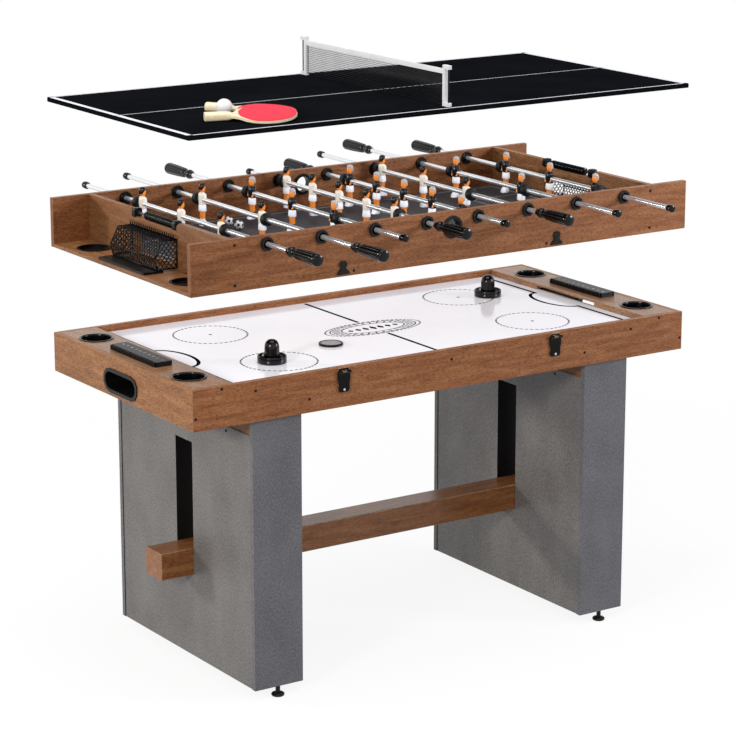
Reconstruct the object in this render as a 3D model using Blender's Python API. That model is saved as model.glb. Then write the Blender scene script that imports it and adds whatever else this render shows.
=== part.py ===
"""Three-in-one games table, shown with its two upper tops lifted off as for display.

The lower unit is a slide-hockey table on two box pedestals joined by a stretcher
beam.  Above it floats the table-football tray with its eight player rods, and
above that the table-tennis board with its net, bats and ball.

Metres, +Z up.  +X runs along the table, -Y is the front.  The origin is on the
floor, under the middle of the table.
"""

import math

import bmesh
import bpy
from mathutils import Matrix, Vector

# Overall sizes
TABLE_LENGTH = 1.524
TABLE_WIDTH = 0.724
TABLE_HEIGHT = 0.838
BOARD = 0.015
GAP = 0.0003
OVERRUN = 0.010
HALF_LENGTH = TABLE_LENGTH / 2
HALF_WIDTH = TABLE_WIDTH / 2
INNER_HALF_WIDTH = HALF_WIDTH - BOARD

# Hockey frame, deck and playing field
APRON_HEIGHT = 0.104
DECK_WIDTH = 0.120
FIELD_DEPTH = 0.017
FIELD_BOARD = 0.009
FIELD_TONGUE = 0.005
FIELD_UNDER_DECK = 0.010
GOAL_SLOT_LENGTH = 0.260
GOAL_SLOT_HEIGHT = 0.009
GOAL_POCKET_FROM_APRON = 0.010
APRON_BOTTOM = TABLE_HEIGHT - APRON_HEIGHT
DECK_INNER_X = HALF_LENGTH - DECK_WIDTH
DECK_CENTRE_X = HALF_LENGTH - DECK_WIDTH / 2
FIELD_TOP = TABLE_HEIGHT - FIELD_DEPTH
FIELD_BOTTOM = FIELD_TOP - FIELD_BOARD
FIELD_HALF_LENGTH = DECK_INNER_X + FIELD_UNDER_DECK

# Cup holders
CUP_RADIUS = 0.039
CUP_BOTTOM_RADIUS = 0.033
CUP_RIM_RADIUS = 0.045
CUP_RIM_HEIGHT = 0.0025
CUP_WALL = 0.0015
CUP_DEPTH = 0.060
CUP_FROM_MIDDLE = 0.240
CUP_SEGMENTS = 14

# Score keepers on the decks
SCORER_LENGTH = 0.235
SCORER_WIDTH = 0.052
SCORER_HEIGHT = 0.013
SCORER_BEVEL = 0.003
SCORER_RIB = 0.0025
SCORER_RIBS = 9

# Puck returns in the end aprons
RETURN_HALF_WIDTH = 0.078
RETURN_HALF_HEIGHT = 0.0225
RETURN_DROP = 0.0625
RETURN_WALL = 0.002
RETURN_RIM = 0.010
RETURN_RIM_THICKNESS = 0.003
RETURN_TRAY_END = 0.106
RETURN_MOUTH_FROM_TOP = 0.010
RETURN_MOUTH_MARGIN = 0.010
PILL_STEPS = 5

# Pedestals, feet and stretcher
PEDESTAL_WIDTH = 0.142
PEDESTAL_FROM_END = 0.247
PEDESTAL_BOTTOM = 0.027
PEDESTAL_FROM_MIDDLE = HALF_LENGTH - PEDESTAL_FROM_END
PANEL_INSET = 0.002
HEAD_BELOW_APRON = 0.044
HEAD_INSET = 0.004
PANEL_RAIL = 0.020
SLOT_WIDTH = 0.085
SLOT_BELOW_TOP = 0.2315
CHEEK = 0.012
BEAM_WIDTH = 0.082
BEAM_HEIGHT = 0.072
BEAM_BOTTOM = 0.250
BEAM_OVERHANG = 0.092
BEAM_LENGTH = 2 * (PEDESTAL_FROM_MIDDLE + PEDESTAL_WIDTH / 2 + BEAM_OVERHANG)
BEAM_BEVEL = 0.0015
FOOT_RADIUS = 0.017
FOOT_PAD = 0.008
FOOT_EDGE = 0.002
FOOT_STEM_RADIUS = 0.006
FOOT_STEM_REACH = 0.010
FOOT_SEGMENTS = 12
HEAD_BOTTOM = APRON_BOTTOM - HEAD_BELOW_APRON
PEDESTAL_TOP = FIELD_BOTTOM - GAP
SLOT_TOP = TABLE_HEIGHT - SLOT_BELOW_TOP
PEDESTAL_HALF_DEPTH = INNER_HALF_WIDTH - GAP

# Draw latches on the long aprons
LATCH_FROM_MIDDLE = 0.330
LATCH_BASE_WIDTH = 0.030
LATCH_BASE_THICKNESS = 0.002
LATCH_BASE_BOTTOM = 0.052
LATCH_PIVOT_DROP = 0.012
LATCH_PIVOT_OUT = 0.0065
LATCH_BARREL_RADIUS = 0.0035
LATCH_KNUCKLE_WIDTH = 0.012
LATCH_WIDTH = 0.037
LATCH_TIP_WIDTH = 0.020
LATCH_LENGTH = 0.048
LATCH_PLATE = 0.0025
LATCH_SEGMENTS = 6
LATCH_TAPER_SHARES = ((1.0, 0.0), (0.94, 0.30), (0.62, 0.62), (0.70, 0.86), (0.30, 1.0))

# Strikers and puck
PUSHER_RADIUS = 0.0375
PUSHER_HEIGHT = 0.060
PUSHER_SEGMENTS = 14
PUSHER_PROFILE_SHARES = (
    (0.0, 0.0), (0.94, 0.0), (1.0, 0.05), (0.98, 0.31), (0.92, 0.31), (0.88, 0.10), (0.55, 0.10),
    (0.53, 0.62), (0.49, 0.76), (0.40, 0.89), (0.24, 0.97), (0.0, 1.0),
)
PUSHER_LEFT_PLACE = (-0.420, -0.170)
PUSHER_RIGHT_PLACE = (0.478, 0.140)
PUCK_RADIUS = 0.032
PUCK_THICKNESS = 0.006
PUCK_EDGE = 0.001
PUCK_PLACE = (-0.196, -0.097)

# Football tray, lifted above the hockey deck
FOOSBALL_LIFT = 0.229
TRAY_HEIGHT = 0.129
TRAY_BASE = 0.009
TRAY_FIELD_TOP = 0.021
ROD_PITCH = 0.157
ROD_AXIS_HEIGHT = 0.1075
ROD_RADIUS = 0.00635
BUSH_RADIUS = 0.0175
BUSH_BORE_CLEARANCE = 0.0003
BUSH_OUT = 0.006
BUSH_IN = 0.005
BUSH_SEGMENTS = 10
ENTRY_RADIUS = 0.021
ENTRY_RIM_RADIUS = 0.029
ENTRY_RIM = 0.003
ENTRY_HEIGHT = 0.088
ENTRY_SEGMENTS = 14
CATCH_WIDTH = 0.034
CATCH_BOTTOM = 0.006
CATCH_TOP = 0.040
CATCH_THICKNESS = 0.004
CATCH_SHARES = ((0.50, 0.0), (0.50, 0.16), (0.20, 0.42), (0.32, 0.78), (0.16, 1.0))
GOAL_HALF_WIDTH = 0.095
GOAL_TOP = 0.082
GOAL_CORNER = 0.014
GOAL_CORNER_STEPS = 3
CUTOUT_HALF_WIDTH = 0.123
CUTOUT_DEPTH = 0.0185
CUTOUT_SLOPE = 0.027
BAY_CUP_DEPTH = 0.006
BAY_SCORER_OUT = 0.035
BAY_SCORER_WIDTH = 0.056
BAY_SCORER_HEIGHT = 0.006
TRAY_FLOOR = TABLE_HEIGHT + FOOSBALL_LIFT

# Bead score keepers on the end walls of the tray
BEAD_ROD_RADIUS = 0.003
BEAD_ROD_BELOW_TOP = 0.0085
BEAD_BLOCK_RADIUS = 0.011
BEAD_BLOCK_WIDTH = 0.014
BEAD_BLOCK_FROM_MIDDLE = 0.102
BEAD_RADIUS = 0.009
BEAD_GROOVE_RADIUS = 0.0062
BEAD_LENGTH = 0.0145
BEAD_GROOVE = 0.0035
BEAD_COUNT = 10
BEADS_RIGHT_FROM_BACK = 0.020
BEAD_SEGMENTS = 8

# Goal cages outside the end walls
CAGE_HALF_WIDTH = 0.115
CAGE_TOP = 0.088
CAGE_KNEE = 0.045
CAGE_BOTTOM = 0.0165
CAGE_TOP_REACH = 0.041
CAGE_KNEE_REACH = 0.064
CAGE_FOOT_REACH = 0.056
CAGE_WIRE = 0.0024
CAGE_COLUMNS = 7
CAGE_SIDE_COLUMNS = 2

# Player rods
HANDLE_LENGTH = 0.136
HANDLE_RADIUS = 0.0155
HANDLE_NECK_RADIUS = 0.009
CAP_LENGTH = 0.020
CAP_RADIUS = 0.0095
BUMPER_RADIUS = 0.0165
BUMPER_LENGTH = 0.016
BUMPER_CLEARANCE = 0.0006
ROD_SEGMENTS = 8
HANDLE_SHARES = (
    (0.0, 0.0), (0.82, 0.0), (1.0, 0.05), (1.0, 0.35), (0.94, 0.68), (0.86, 0.86), (0.60, 0.90),
)

# Player figures: width along the rod, depth across it
FIGURE_ABOVE = 0.044
FIGURE_BELOW = 0.070
FIGURE_WIDTH = 0.027
FIGURE_DEPTH = 0.020
FIGURE_SHARES = (
    (0.00, 0.62, 1.10, 0.35),
    (0.14, 0.60, 0.66, 0.05),
    (0.36, 0.66, 0.68, 0.00),
    (0.37, 0.86, 0.88, 0.00),
    (0.53, 0.78, 0.76, 0.00),
    (0.70, 1.00, 0.92, 0.00),
    (0.775, 0.92, 0.70, 0.00),
    (0.80, 0.36, 0.42, 0.00),
    (0.84, 0.56, 0.74, 0.04),
    (0.93, 0.62, 0.86, 0.00),
    (1.00, 0.34, 0.48, -0.04),
)
FIGURE_CORNER_SHARE = 0.55

# Each rod type: how far its outer figures stand from the side walls, and how far its handle and its
# cap reach past them, when the rod is centred
THREE_FIGURE_FROM_WALL = 0.147
THREE_HANDLE_OUT = 0.286
THREE_CAP_OUT = 0.161
TWO_FIGURE_FROM_WALL = 0.197
TWO_HANDLE_OUT = 0.343
TWO_CAP_OUT = 0.206
FIVE_FIGURE_FROM_WALL = 0.087
FIVE_HANDLE_OUT = 0.218
FIVE_CAP_OUT = 0.098
THREE_OUTER_FIGURE = INNER_HALF_WIDTH - THREE_FIGURE_FROM_WALL
TWO_OUTER_FIGURE = INNER_HALF_WIDTH - TWO_FIGURE_FROM_WALL
FIVE_OUTER_FIGURE = INNER_HALF_WIDTH - FIVE_FIGURE_FROM_WALL
THREE_FIGURES = (-THREE_OUTER_FIGURE, 0, THREE_OUTER_FIGURE)
TWO_FIGURES = (-TWO_OUTER_FIGURE, TWO_OUTER_FIGURE)
FIVE_FIGURES = (-FIVE_OUTER_FIGURE, -FIVE_OUTER_FIGURE / 2, 0, FIVE_OUTER_FIGURE / 2, FIVE_OUTER_FIGURE)
THREE_HANDLE_REACH = HALF_WIDTH + THREE_HANDLE_OUT
THREE_CAP_REACH = HALF_WIDTH + THREE_CAP_OUT
TWO_HANDLE_REACH = HALF_WIDTH + TWO_HANDLE_OUT
TWO_CAP_REACH = HALF_WIDTH + TWO_CAP_OUT
FIVE_HANDLE_REACH = HALF_WIDTH + FIVE_HANDLE_OUT
FIVE_CAP_REACH = HALF_WIDTH + FIVE_CAP_OUT
THREE_ROD = (THREE_FIGURES, THREE_HANDLE_REACH, THREE_CAP_REACH)
TWO_ROD = (TWO_FIGURES, TWO_HANDLE_REACH, TWO_CAP_REACH)
FIVE_ROD = (FIVE_FIGURES, FIVE_HANDLE_REACH, FIVE_CAP_REACH)

# Rods from left to right: type, side of the handle (-1 front), how far each is pushed along Y
FRONT = -1
BACK = 1
RODS = (
    ("rod_1_keeper", THREE_ROD, FRONT, 0.053),
    ("rod_2_defence", TWO_ROD, FRONT, 0.066),
    ("rod_3_attack", THREE_ROD, BACK, 0.024),
    ("rod_4_midfield", FIVE_ROD, FRONT, 0.043),
    ("rod_5_midfield", FIVE_ROD, BACK, -0.029),
    ("rod_6_attack", THREE_ROD, FRONT, 0.108),
    ("rod_7_defence", TWO_ROD, BACK, 0.0265),
    ("rod_8_keeper", THREE_ROD, BACK, -0.042),
)

# Tennis board, lifted above the football tray
TENNIS_LIFT = 0.607
TENNIS_BOARD = 0.012
TENNIS_EDGE = 0.001
NET_HALF_WIDTH = 0.322
NET_TOP = 0.094
NET_BOTTOM = 0.004
NET_TAPE = 0.013
NET_HEM = 0.005
NET_CORD = 0.0025
NET_THICKNESS = 0.002
NET_COLUMNS = 18
NET_ROWS = 3
POST_HEIGHT = 0.104
POST_WIDTH = 0.010
POST_DEPTH = 0.012
POST_ARM = 0.012
POST_ARM_REACH = 0.024
TENNIS_FLOOR = TABLE_HEIGHT + TENNIS_LIFT
TENNIS_TOP = TENNIS_FLOOR + TENNIS_BOARD

# Bats and ball
BLADE_HALF_LENGTH = 0.0775
BLADE_HALF_WIDTH = 0.0740
BLADE_THICKNESS = 0.009
GRIP_LENGTH = 0.0625
GRIP_WIDTH = 0.026
GRIP_END_WIDTH = 0.030
GRIP_THICKNESS = 0.021
GRIP_OVERLAP = 0.006
SHOULDER_WIDTH = 0.052
SHOULDER_LENGTH = 0.030
GRIP_SECTION_SHARES = (
    (1.0, 0.5), (0.6, 1.0), (-0.6, 1.0), (-1.0, 0.5), (-1.0, -0.5), (-0.6, -1.0), (0.6, -1.0), (1.0, -0.5),
)
BLADE_STEPS = 14
BLADE_ARC = math.radians(118)
BAT_FRONT_FROM_CORNER = (0.277, 0.106)
BAT_FRONT_PLACE = (BAT_FRONT_FROM_CORNER[0] - HALF_LENGTH, BAT_FRONT_FROM_CORNER[1] - HALF_WIDTH)
BAT_FRONT_TURN = math.radians(-21)
BAT_FRONT_TOUCH = math.radians(-101)
BAT_REAR_FROM_CORNER = (0.325, 0.187)
BAT_REAR_PLACE = (BAT_REAR_FROM_CORNER[0] - HALF_LENGTH, BAT_REAR_FROM_CORNER[1] - HALF_WIDTH)
BAT_REAR_TURN = math.radians(-45)
BAT_REAR_TOUCH = math.radians(-75)
BLADE_NECK_X = -BLADE_HALF_LENGTH - SHOULDER_LENGTH / 3
GRIP_END_X = BLADE_NECK_X - GRIP_LENGTH
BALL_RADIUS = 0.020
BALL_SEGMENTS = 12
BALL_RINGS = 8
BALL_FROM_CORNER = (0.230, 0.223)
BALL_PLACE = (BALL_FROM_CORNER[0] - HALF_LENGTH, BALL_FROM_CORNER[1] - HALF_WIDTH)

SMOOTH_ANGLE = math.radians(46)


def material(name, colour, roughness, metallic=0.0):
    """Return a Principled material of one colour."""
    mat = bpy.data.materials.new(name)
    mat.use_nodes = True
    shader = mat.node_tree.nodes["Principled BSDF"]
    shader.inputs["Base Color"].default_value = (*colour, 1.0)
    shader.inputs["Roughness"].default_value = roughness
    shader.inputs["Metallic"].default_value = metallic
    mat.diffuse_color = (*colour, 1.0)
    return mat


def clear_scene():
    """Remove what the scene holds at the start."""
    for obj in list(bpy.data.objects):
        bpy.data.objects.remove(obj, do_unlink=True)


def add_empty(name, location):
    """Return an empty that carries one lifted unit."""
    empty = bpy.data.objects.new(name, None)
    empty.location = location
    bpy.context.scene.collection.objects.link(empty)
    return empty


def add_object(name, mesh_maker, mat=None, location=(0, 0, 0), rotation=(0, 0, 0), parent=None,
               smooth=False):
    """Make an object whose mesh is filled by mesh_maker(bm)."""
    bm = bmesh.new()
    mesh_maker(bm)
    bmesh.ops.recalc_face_normals(bm, faces=bm.faces)
    mesh = bpy.data.meshes.new(name)
    bm.to_mesh(mesh)
    bm.free()
    if smooth:
        mesh.shade_smooth()
        mesh.set_sharp_from_angle(angle=SMOOTH_ANGLE)
    if mat:
        mesh.materials.append(mat)
    obj = bpy.data.objects.new(name, mesh)
    obj.location = location
    obj.rotation_euler = rotation
    obj.parent = parent
    bpy.context.scene.collection.objects.link(obj)
    return obj


def boolean(target, operation, mesh_maker, label):
    """Join to or cut from target a tool shape given in target's own frame."""
    tool = add_object(f"{target.name}_{label}", mesh_maker, location=target.location,
                      rotation=target.rotation_euler, parent=target.parent)
    tool.hide_render = True
    tool.display_type = "WIRE"
    modifier = target.modifiers.new(label, "BOOLEAN")
    modifier.operation = operation
    modifier.object = tool
    return tool


def box(bm, low, high):
    """Add a block from its low corner to its high corner."""
    centre = [(a + b) / 2 for a, b in zip(low, high)]
    size = [b - a for a, b in zip(low, high)]
    bmesh.ops.create_cube(bm, size=1, matrix=Matrix.Translation(centre) @ Matrix.Diagonal((*size, 1)))


def prism(bm, outline, axis, start, end):
    """Extrude a closed outline, given in the two other axes, from start to end along an axis."""
    place = {
        "X": lambda a, b, c: (c, a, b),
        "Y": lambda a, b, c: (a, c, b),
        "Z": lambda a, b, c: (a, b, c),
    }[axis]
    low = [bm.verts.new(place(a, b, start)) for a, b in outline]
    high = [bm.verts.new(place(a, b, end)) for a, b in outline]
    bm.faces.new(low)
    bm.faces.new(high)
    for i in range(len(outline)):
        j = (i + 1) % len(outline)
        bm.faces.new((low[i], low[j], high[j], high[i]))


def rings(bm, loops, closed=False):
    """Bridge loops of points; a loop of one point closes an end to a tip."""
    made = [[bm.verts.new(point) for point in loop] for loop in loops]
    pairs = list(zip(made, made[1:]))
    if closed:
        pairs.append((made[-1], made[0]))
    for first, second in pairs:
        count = max(len(first), len(second))
        for i in range(count):
            j = (i + 1) % count
            corners = [first[i % len(first)], first[j % len(first)],
                       second[j % len(second)], second[i % len(second)]]
            bm.faces.new(list(dict.fromkeys(corners)))
    if not closed:
        for loop in (made[0], made[-1]):
            if len(loop) > 2:
                bm.faces.new(loop)


def turned(bm, profile, segments, axis="Z", centre=(0, 0, 0), closed=False):
    """Turn a profile of (radius, height) points about an axis through centre."""
    place = {
        "X": lambda u, v, h: (h, u, v),
        "Y": lambda u, v, h: (u, h, v),
        "Z": lambda u, v, h: (u, v, h),
    }[axis]
    loops = []
    for radius, height in profile:
        if radius == 0:
            loops.append([Vector(place(0, 0, height)) + Vector(centre)])
            continue
        loops.append([
            Vector(place(radius * math.cos(turn), radius * math.sin(turn), height)) + Vector(centre)
            for turn in (2 * math.pi * i / segments for i in range(segments))
        ])
    rings(bm, loops, closed)


def rod_between(bm, radius, start, end, segments, axis, centre=(0, 0, 0)):
    """Add a plain round bar."""
    turned(bm, [(0, start), (radius, start), (radius, end), (0, end)], segments, axis, centre)


def pill(half_width, half_height, middle_height):
    """Return a long rounded outline, its ends half circles."""
    points = []
    straight = half_width - half_height
    for side in (1, -1):
        for i in range(PILL_STEPS + 1):
            turn = -math.pi / 2 + math.pi * i / PILL_STEPS
            points.append((side * (straight + half_height * math.cos(turn)),
                           middle_height + side * half_height * math.sin(turn)))
    return points


def pierced_sheet(bm, place, u_lines, v_lines, thickness, is_hole):
    """Add a closed sheet on a grid of lines, open in the cells that is_hole(i, j) picks.

    place(u, v, w) gives a point; w runs from 0 to thickness through the sheet.
    """
    made = {}

    def corner(i, j, side):
        key = (i, j, side)
        if key not in made:
            made[key] = bm.verts.new(place(u_lines[i], v_lines[j], side * thickness))
        return made[key]

    columns = len(u_lines) - 1
    rows = len(v_lines) - 1

    def solid(i, j):
        return 0 <= i < columns and 0 <= j < rows and not is_hole(i, j)

    for i in range(columns):
        for j in range(rows):
            if not solid(i, j):
                continue
            for side in (0, 1):
                bm.faces.new((corner(i, j, side), corner(i + 1, j, side),
                              corner(i + 1, j + 1, side), corner(i, j + 1, side)))
            edges = (
                (solid(i, j - 1), (i, j), (i + 1, j)),
                (solid(i, j + 1), (i, j + 1), (i + 1, j + 1)),
                (solid(i - 1, j), (i, j), (i, j + 1)),
                (solid(i + 1, j), (i + 1, j), (i + 1, j + 1)),
            )
            for neighbour, a, b in edges:
                if not neighbour:
                    bm.faces.new((corner(*a, 0), corner(*b, 0), corner(*b, 1), corner(*a, 1)))


def lattice_lines(start, end, cells, bar):
    """Return grid lines for bars of one width with equal gaps, a bar at each end."""
    gap = (end - start - bar * (cells + 1)) / cells
    lines = []
    for i in range(cells + 1):
        lines.append(start + i * (gap + bar))
        lines.append(start + i * (gap + bar) + bar)
    return lines


# Hockey unit


def long_apron(name, side, mat):
    """Front or back apron: mitred ends, a groove for the field, and two latch bases."""
    outer = side * HALF_WIDTH
    inner = side * INNER_HALF_WIDTH
    outer_x = HALF_LENGTH - 2 * GAP
    inner_x = outer_x - BOARD
    outline = [(-outer_x, outer), (outer_x, outer), (inner_x, inner), (-inner_x, inner)]
    apron = add_object(name, lambda bm: prism(bm, outline, "Z", APRON_BOTTOM, TABLE_HEIGHT), mat)

    def bases(bm):
        for x in (-LATCH_FROM_MIDDLE, LATCH_FROM_MIDDLE):
            ends = sorted((outer - side * LATCH_BASE_THICKNESS, outer + side * LATCH_BASE_THICKNESS))
            box(bm, (x - LATCH_BASE_WIDTH / 2, ends[0], TABLE_HEIGHT - LATCH_BASE_BOTTOM),
                (x + LATCH_BASE_WIDTH / 2, ends[1], TABLE_HEIGHT - LATCH_BARREL_RADIUS))

    def knuckles(bm):
        pivot_y = outer + side * LATCH_PIVOT_OUT
        pivot_z = TABLE_HEIGHT - LATCH_PIVOT_DROP
        arc = [(pivot_y + side * LATCH_BARREL_RADIUS * math.cos(turn),
                pivot_z + LATCH_BARREL_RADIUS * math.sin(turn))
               for turn in (math.pi * (i / 4 - 0.5) for i in range(5))]
        web = [(outer, pivot_z + LATCH_BARREL_RADIUS), (outer, pivot_z - LATCH_BARREL_RADIUS)]
        for x in (-LATCH_FROM_MIDDLE, LATCH_FROM_MIDDLE):
            prism(bm, arc + web, "X", x - LATCH_KNUCKLE_WIDTH / 2, x + LATCH_KNUCKLE_WIDTH / 2)

    def groove(bm):
        ends = sorted((inner - side * OVERRUN, inner + side * (FIELD_TONGUE + GAP)))
        box(bm, (-FIELD_HALF_LENGTH - GAP, ends[0], FIELD_BOTTOM - GAP),
            (FIELD_HALF_LENGTH + GAP, ends[1], FIELD_TOP + GAP))

    boolean(apron, "UNION", bases, "latch_bases")
    boolean(apron, "UNION", knuckles, "latch_knuckles")
    boolean(apron, "DIFFERENCE", groove, "field_groove")
    return apron


def end_apron(name, end, mat):
    """End apron with mitred ends and a hole for the puck return."""
    outer = end * HALF_LENGTH
    inner = end * (HALF_LENGTH - BOARD)
    outline = [(outer, -HALF_WIDTH), (outer, HALF_WIDTH), (inner, INNER_HALF_WIDTH),
               (inner, -INNER_HALF_WIDTH)]
    apron = add_object(name, lambda bm: prism(bm, outline, "Z", APRON_BOTTOM, TABLE_HEIGHT), mat)
    hole = pill(RETURN_HALF_WIDTH + RETURN_WALL + GAP, RETURN_HALF_HEIGHT + RETURN_WALL + GAP,
                TABLE_HEIGHT - RETURN_DROP)
    ends = sorted((outer + end * OVERRUN, inner - end * OVERRUN))
    boolean(apron, "DIFFERENCE", lambda bm: prism(bm, hole, "X", *ends), "return_hole")
    return apron


def end_deck(name, end, mat):
    """Deck board over one end, with two cup holes and, under it, the goal slot and its pocket."""
    ends = sorted((end * DECK_INNER_X, end * (HALF_LENGTH - BOARD - GAP)))
    half = INNER_HALF_WIDTH - GAP
    deck = add_object(name, lambda bm: box(bm, (ends[0], -half, TABLE_HEIGHT - BOARD),
                                           (ends[1], half, TABLE_HEIGHT)), mat)

    def holes(bm):
        for y in (-CUP_FROM_MIDDLE, CUP_FROM_MIDDLE):
            rod_between(bm, CUP_RADIUS + CUP_WALL + GAP, -BOARD - OVERRUN, OVERRUN, CUP_SEGMENTS, "Z",
                        (end * DECK_CENTRE_X, y, TABLE_HEIGHT))

    slot = sorted((end * (DECK_INNER_X - OVERRUN), end * (HALF_LENGTH - BOARD - GOAL_POCKET_FROM_APRON)))
    boolean(deck, "DIFFERENCE", holes, "cup_holes")
    boolean(deck, "DIFFERENCE", lambda bm: box(
        bm, (slot[0], -GOAL_SLOT_LENGTH / 2, TABLE_HEIGHT - BOARD - OVERRUN),
        (slot[1], GOAL_SLOT_LENGTH / 2, TABLE_HEIGHT - BOARD + GOAL_SLOT_HEIGHT)), "goal_slot")
    return deck


def hockey_field(mat):
    """Playing board, its long edges in the grooves of the aprons."""
    half = INNER_HALF_WIDTH + FIELD_TONGUE
    return add_object("hockey_field", lambda bm: box(
        bm, (-FIELD_HALF_LENGTH, -half, FIELD_BOTTOM), (FIELD_HALF_LENGTH, half, FIELD_TOP)), mat)


def cup_holder(name, x, y, mat):
    """Moulded cup with a flat rolled rim, dropped into the deck."""
    profile = [
        (0, -CUP_DEPTH), (CUP_BOTTOM_RADIUS + CUP_WALL, -CUP_DEPTH), (CUP_RADIUS + CUP_WALL, -BOARD),
        (CUP_RADIUS + CUP_WALL, GAP), (CUP_RIM_RADIUS, GAP), (CUP_RIM_RADIUS - CUP_WALL, CUP_RIM_HEIGHT),
        (CUP_RADIUS + CUP_WALL, CUP_RIM_HEIGHT), (CUP_RADIUS, CUP_RIM_HEIGHT - CUP_WALL),
        (CUP_RADIUS, -BOARD), (CUP_BOTTOM_RADIUS, CUP_WALL - CUP_DEPTH), (0, CUP_WALL - CUP_DEPTH),
    ]
    return add_object(name, lambda bm: turned(bm, profile, CUP_SEGMENTS), mat,
                      location=(x, y, TABLE_HEIGHT), smooth=True)


def ribbed_outline(length, width, rib, ribs):
    """Return a bar's outline in X and Y whose long sides carry square ribs."""
    points = []
    pitch = length / (2 * ribs + 1)
    for side in (1, -1):
        for i in range(2 * ribs + 1):
            out = width / 2 - (rib if i % 2 else 0)
            y0 = side * (-length / 2 + i * pitch)
            y1 = side * (-length / 2 + (i + 1) * pitch)
            points += [(side * out, y0), (side * out, y1)]
    return points


def deck_scorer(name, end, mat):
    """Score keeper bar on a deck, ribbed along both long sides."""
    outline = [(end * DECK_CENTRE_X + x, y) for x, y in
               ribbed_outline(SCORER_LENGTH, SCORER_WIDTH, SCORER_RIB, SCORER_RIBS)]
    scorer = add_object(name, lambda bm: prism(bm, outline, "Z", TABLE_HEIGHT + GAP,
                                               TABLE_HEIGHT + SCORER_HEIGHT - SCORER_BEVEL), mat)
    half_x = SCORER_WIDTH / 2 - SCORER_BEVEL
    half_y = SCORER_LENGTH / 2 - SCORER_BEVEL

    def face(bm):
        box(bm, (end * DECK_CENTRE_X - half_x, -half_y, TABLE_HEIGHT + SCORER_BEVEL),
            (end * DECK_CENTRE_X + half_x, half_y, TABLE_HEIGHT + SCORER_HEIGHT))

    boolean(scorer, "UNION", face, "face")
    return scorer


def puck_return(name, end, mat):
    """Moulded puck return: rim, sleeve through the apron, and tray under the goal slot."""
    middle = TABLE_HEIGHT - RETURN_DROP
    face = HALF_LENGTH + GAP
    inner_end = HALF_LENGTH - RETURN_TRAY_END
    rim = pill(RETURN_HALF_WIDTH + RETURN_RIM, RETURN_HALF_HEIGHT + RETURN_RIM - GAP, middle)
    rim_ends = sorted((end * face, end * (face + RETURN_RIM_THICKNESS)))
    part = add_object(name, lambda bm: prism(bm, rim, "X", *rim_ends), mat)
    sleeve = pill(RETURN_HALF_WIDTH + RETURN_WALL, RETURN_HALF_HEIGHT + RETURN_WALL, middle)
    sleeve_ends = sorted((end * inner_end, end * (face + RETURN_WALL)))
    hollow = pill(RETURN_HALF_WIDTH, RETURN_HALF_HEIGHT, middle)
    hollow_ends = sorted((end * (inner_end + RETURN_WALL), end * (face + OVERRUN)))
    mouth = sorted((end * (inner_end + RETURN_WALL), end * (HALF_LENGTH - BOARD - RETURN_WALL)))
    mouth_half = RETURN_HALF_WIDTH - RETURN_MOUTH_MARGIN
    boolean(part, "UNION", lambda bm: prism(bm, sleeve, "X", *sleeve_ends), "sleeve")
    boolean(part, "DIFFERENCE", lambda bm: prism(bm, hollow, "X", *hollow_ends), "hollow")
    boolean(part, "DIFFERENCE", lambda bm: box(
        bm, (mouth[0], -mouth_half, middle + RETURN_HALF_HEIGHT - RETURN_MOUTH_FROM_TOP),
        (mouth[1], mouth_half, middle + RETURN_HALF_HEIGHT + OVERRUN)), "mouth")
    return part


def latch_lever(name, x, side, mat):
    """Draw latch lever; its origin is on its pivot, and it hangs flat against its base."""
    inner = LATCH_BASE_THICKNESS + GAP - LATCH_PIVOT_OUT
    outer = inner + LATCH_PLATE
    top = LATCH_BARREL_RADIUS + GAP
    outline = []
    for width_share, drop_share in LATCH_TAPER_SHARES:
        width = LATCH_TIP_WIDTH + (LATCH_WIDTH - LATCH_TIP_WIDTH) * width_share
        outline.append((width / 2, -top - LATCH_LENGTH * drop_share))
    outline += [(-px, pz) for px, pz in reversed(outline)]
    faces = sorted((side * inner, side * outer))
    lever = add_object(name, lambda bm: prism(bm, outline, "Y", *faces), mat, location=(
        x, side * (HALF_WIDTH + LATCH_PIVOT_OUT), TABLE_HEIGHT - LATCH_PIVOT_DROP))

    def ears(bm):
        turns = [math.pi * (1.25 * i / LATCH_SEGMENTS - 0.25) for i in range(LATCH_SEGMENTS + 1)]
        section = [(inner, -top - LATCH_PLATE), (outer, -top - LATCH_PLATE)]
        section += [(LATCH_BARREL_RADIUS * math.cos(turn), LATCH_BARREL_RADIUS * math.sin(turn))
                    for turn in turns]
        section.append((inner, 0))
        for way in (-1, 1):
            ends = sorted((way * (LATCH_KNUCKLE_WIDTH / 2 + GAP), way * LATCH_WIDTH / 2))
            prism(bm, [(side * py, pz) for py, pz in section], "X", *ends)

    boolean(lever, "UNION", ears, "ears")
    return lever


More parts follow.
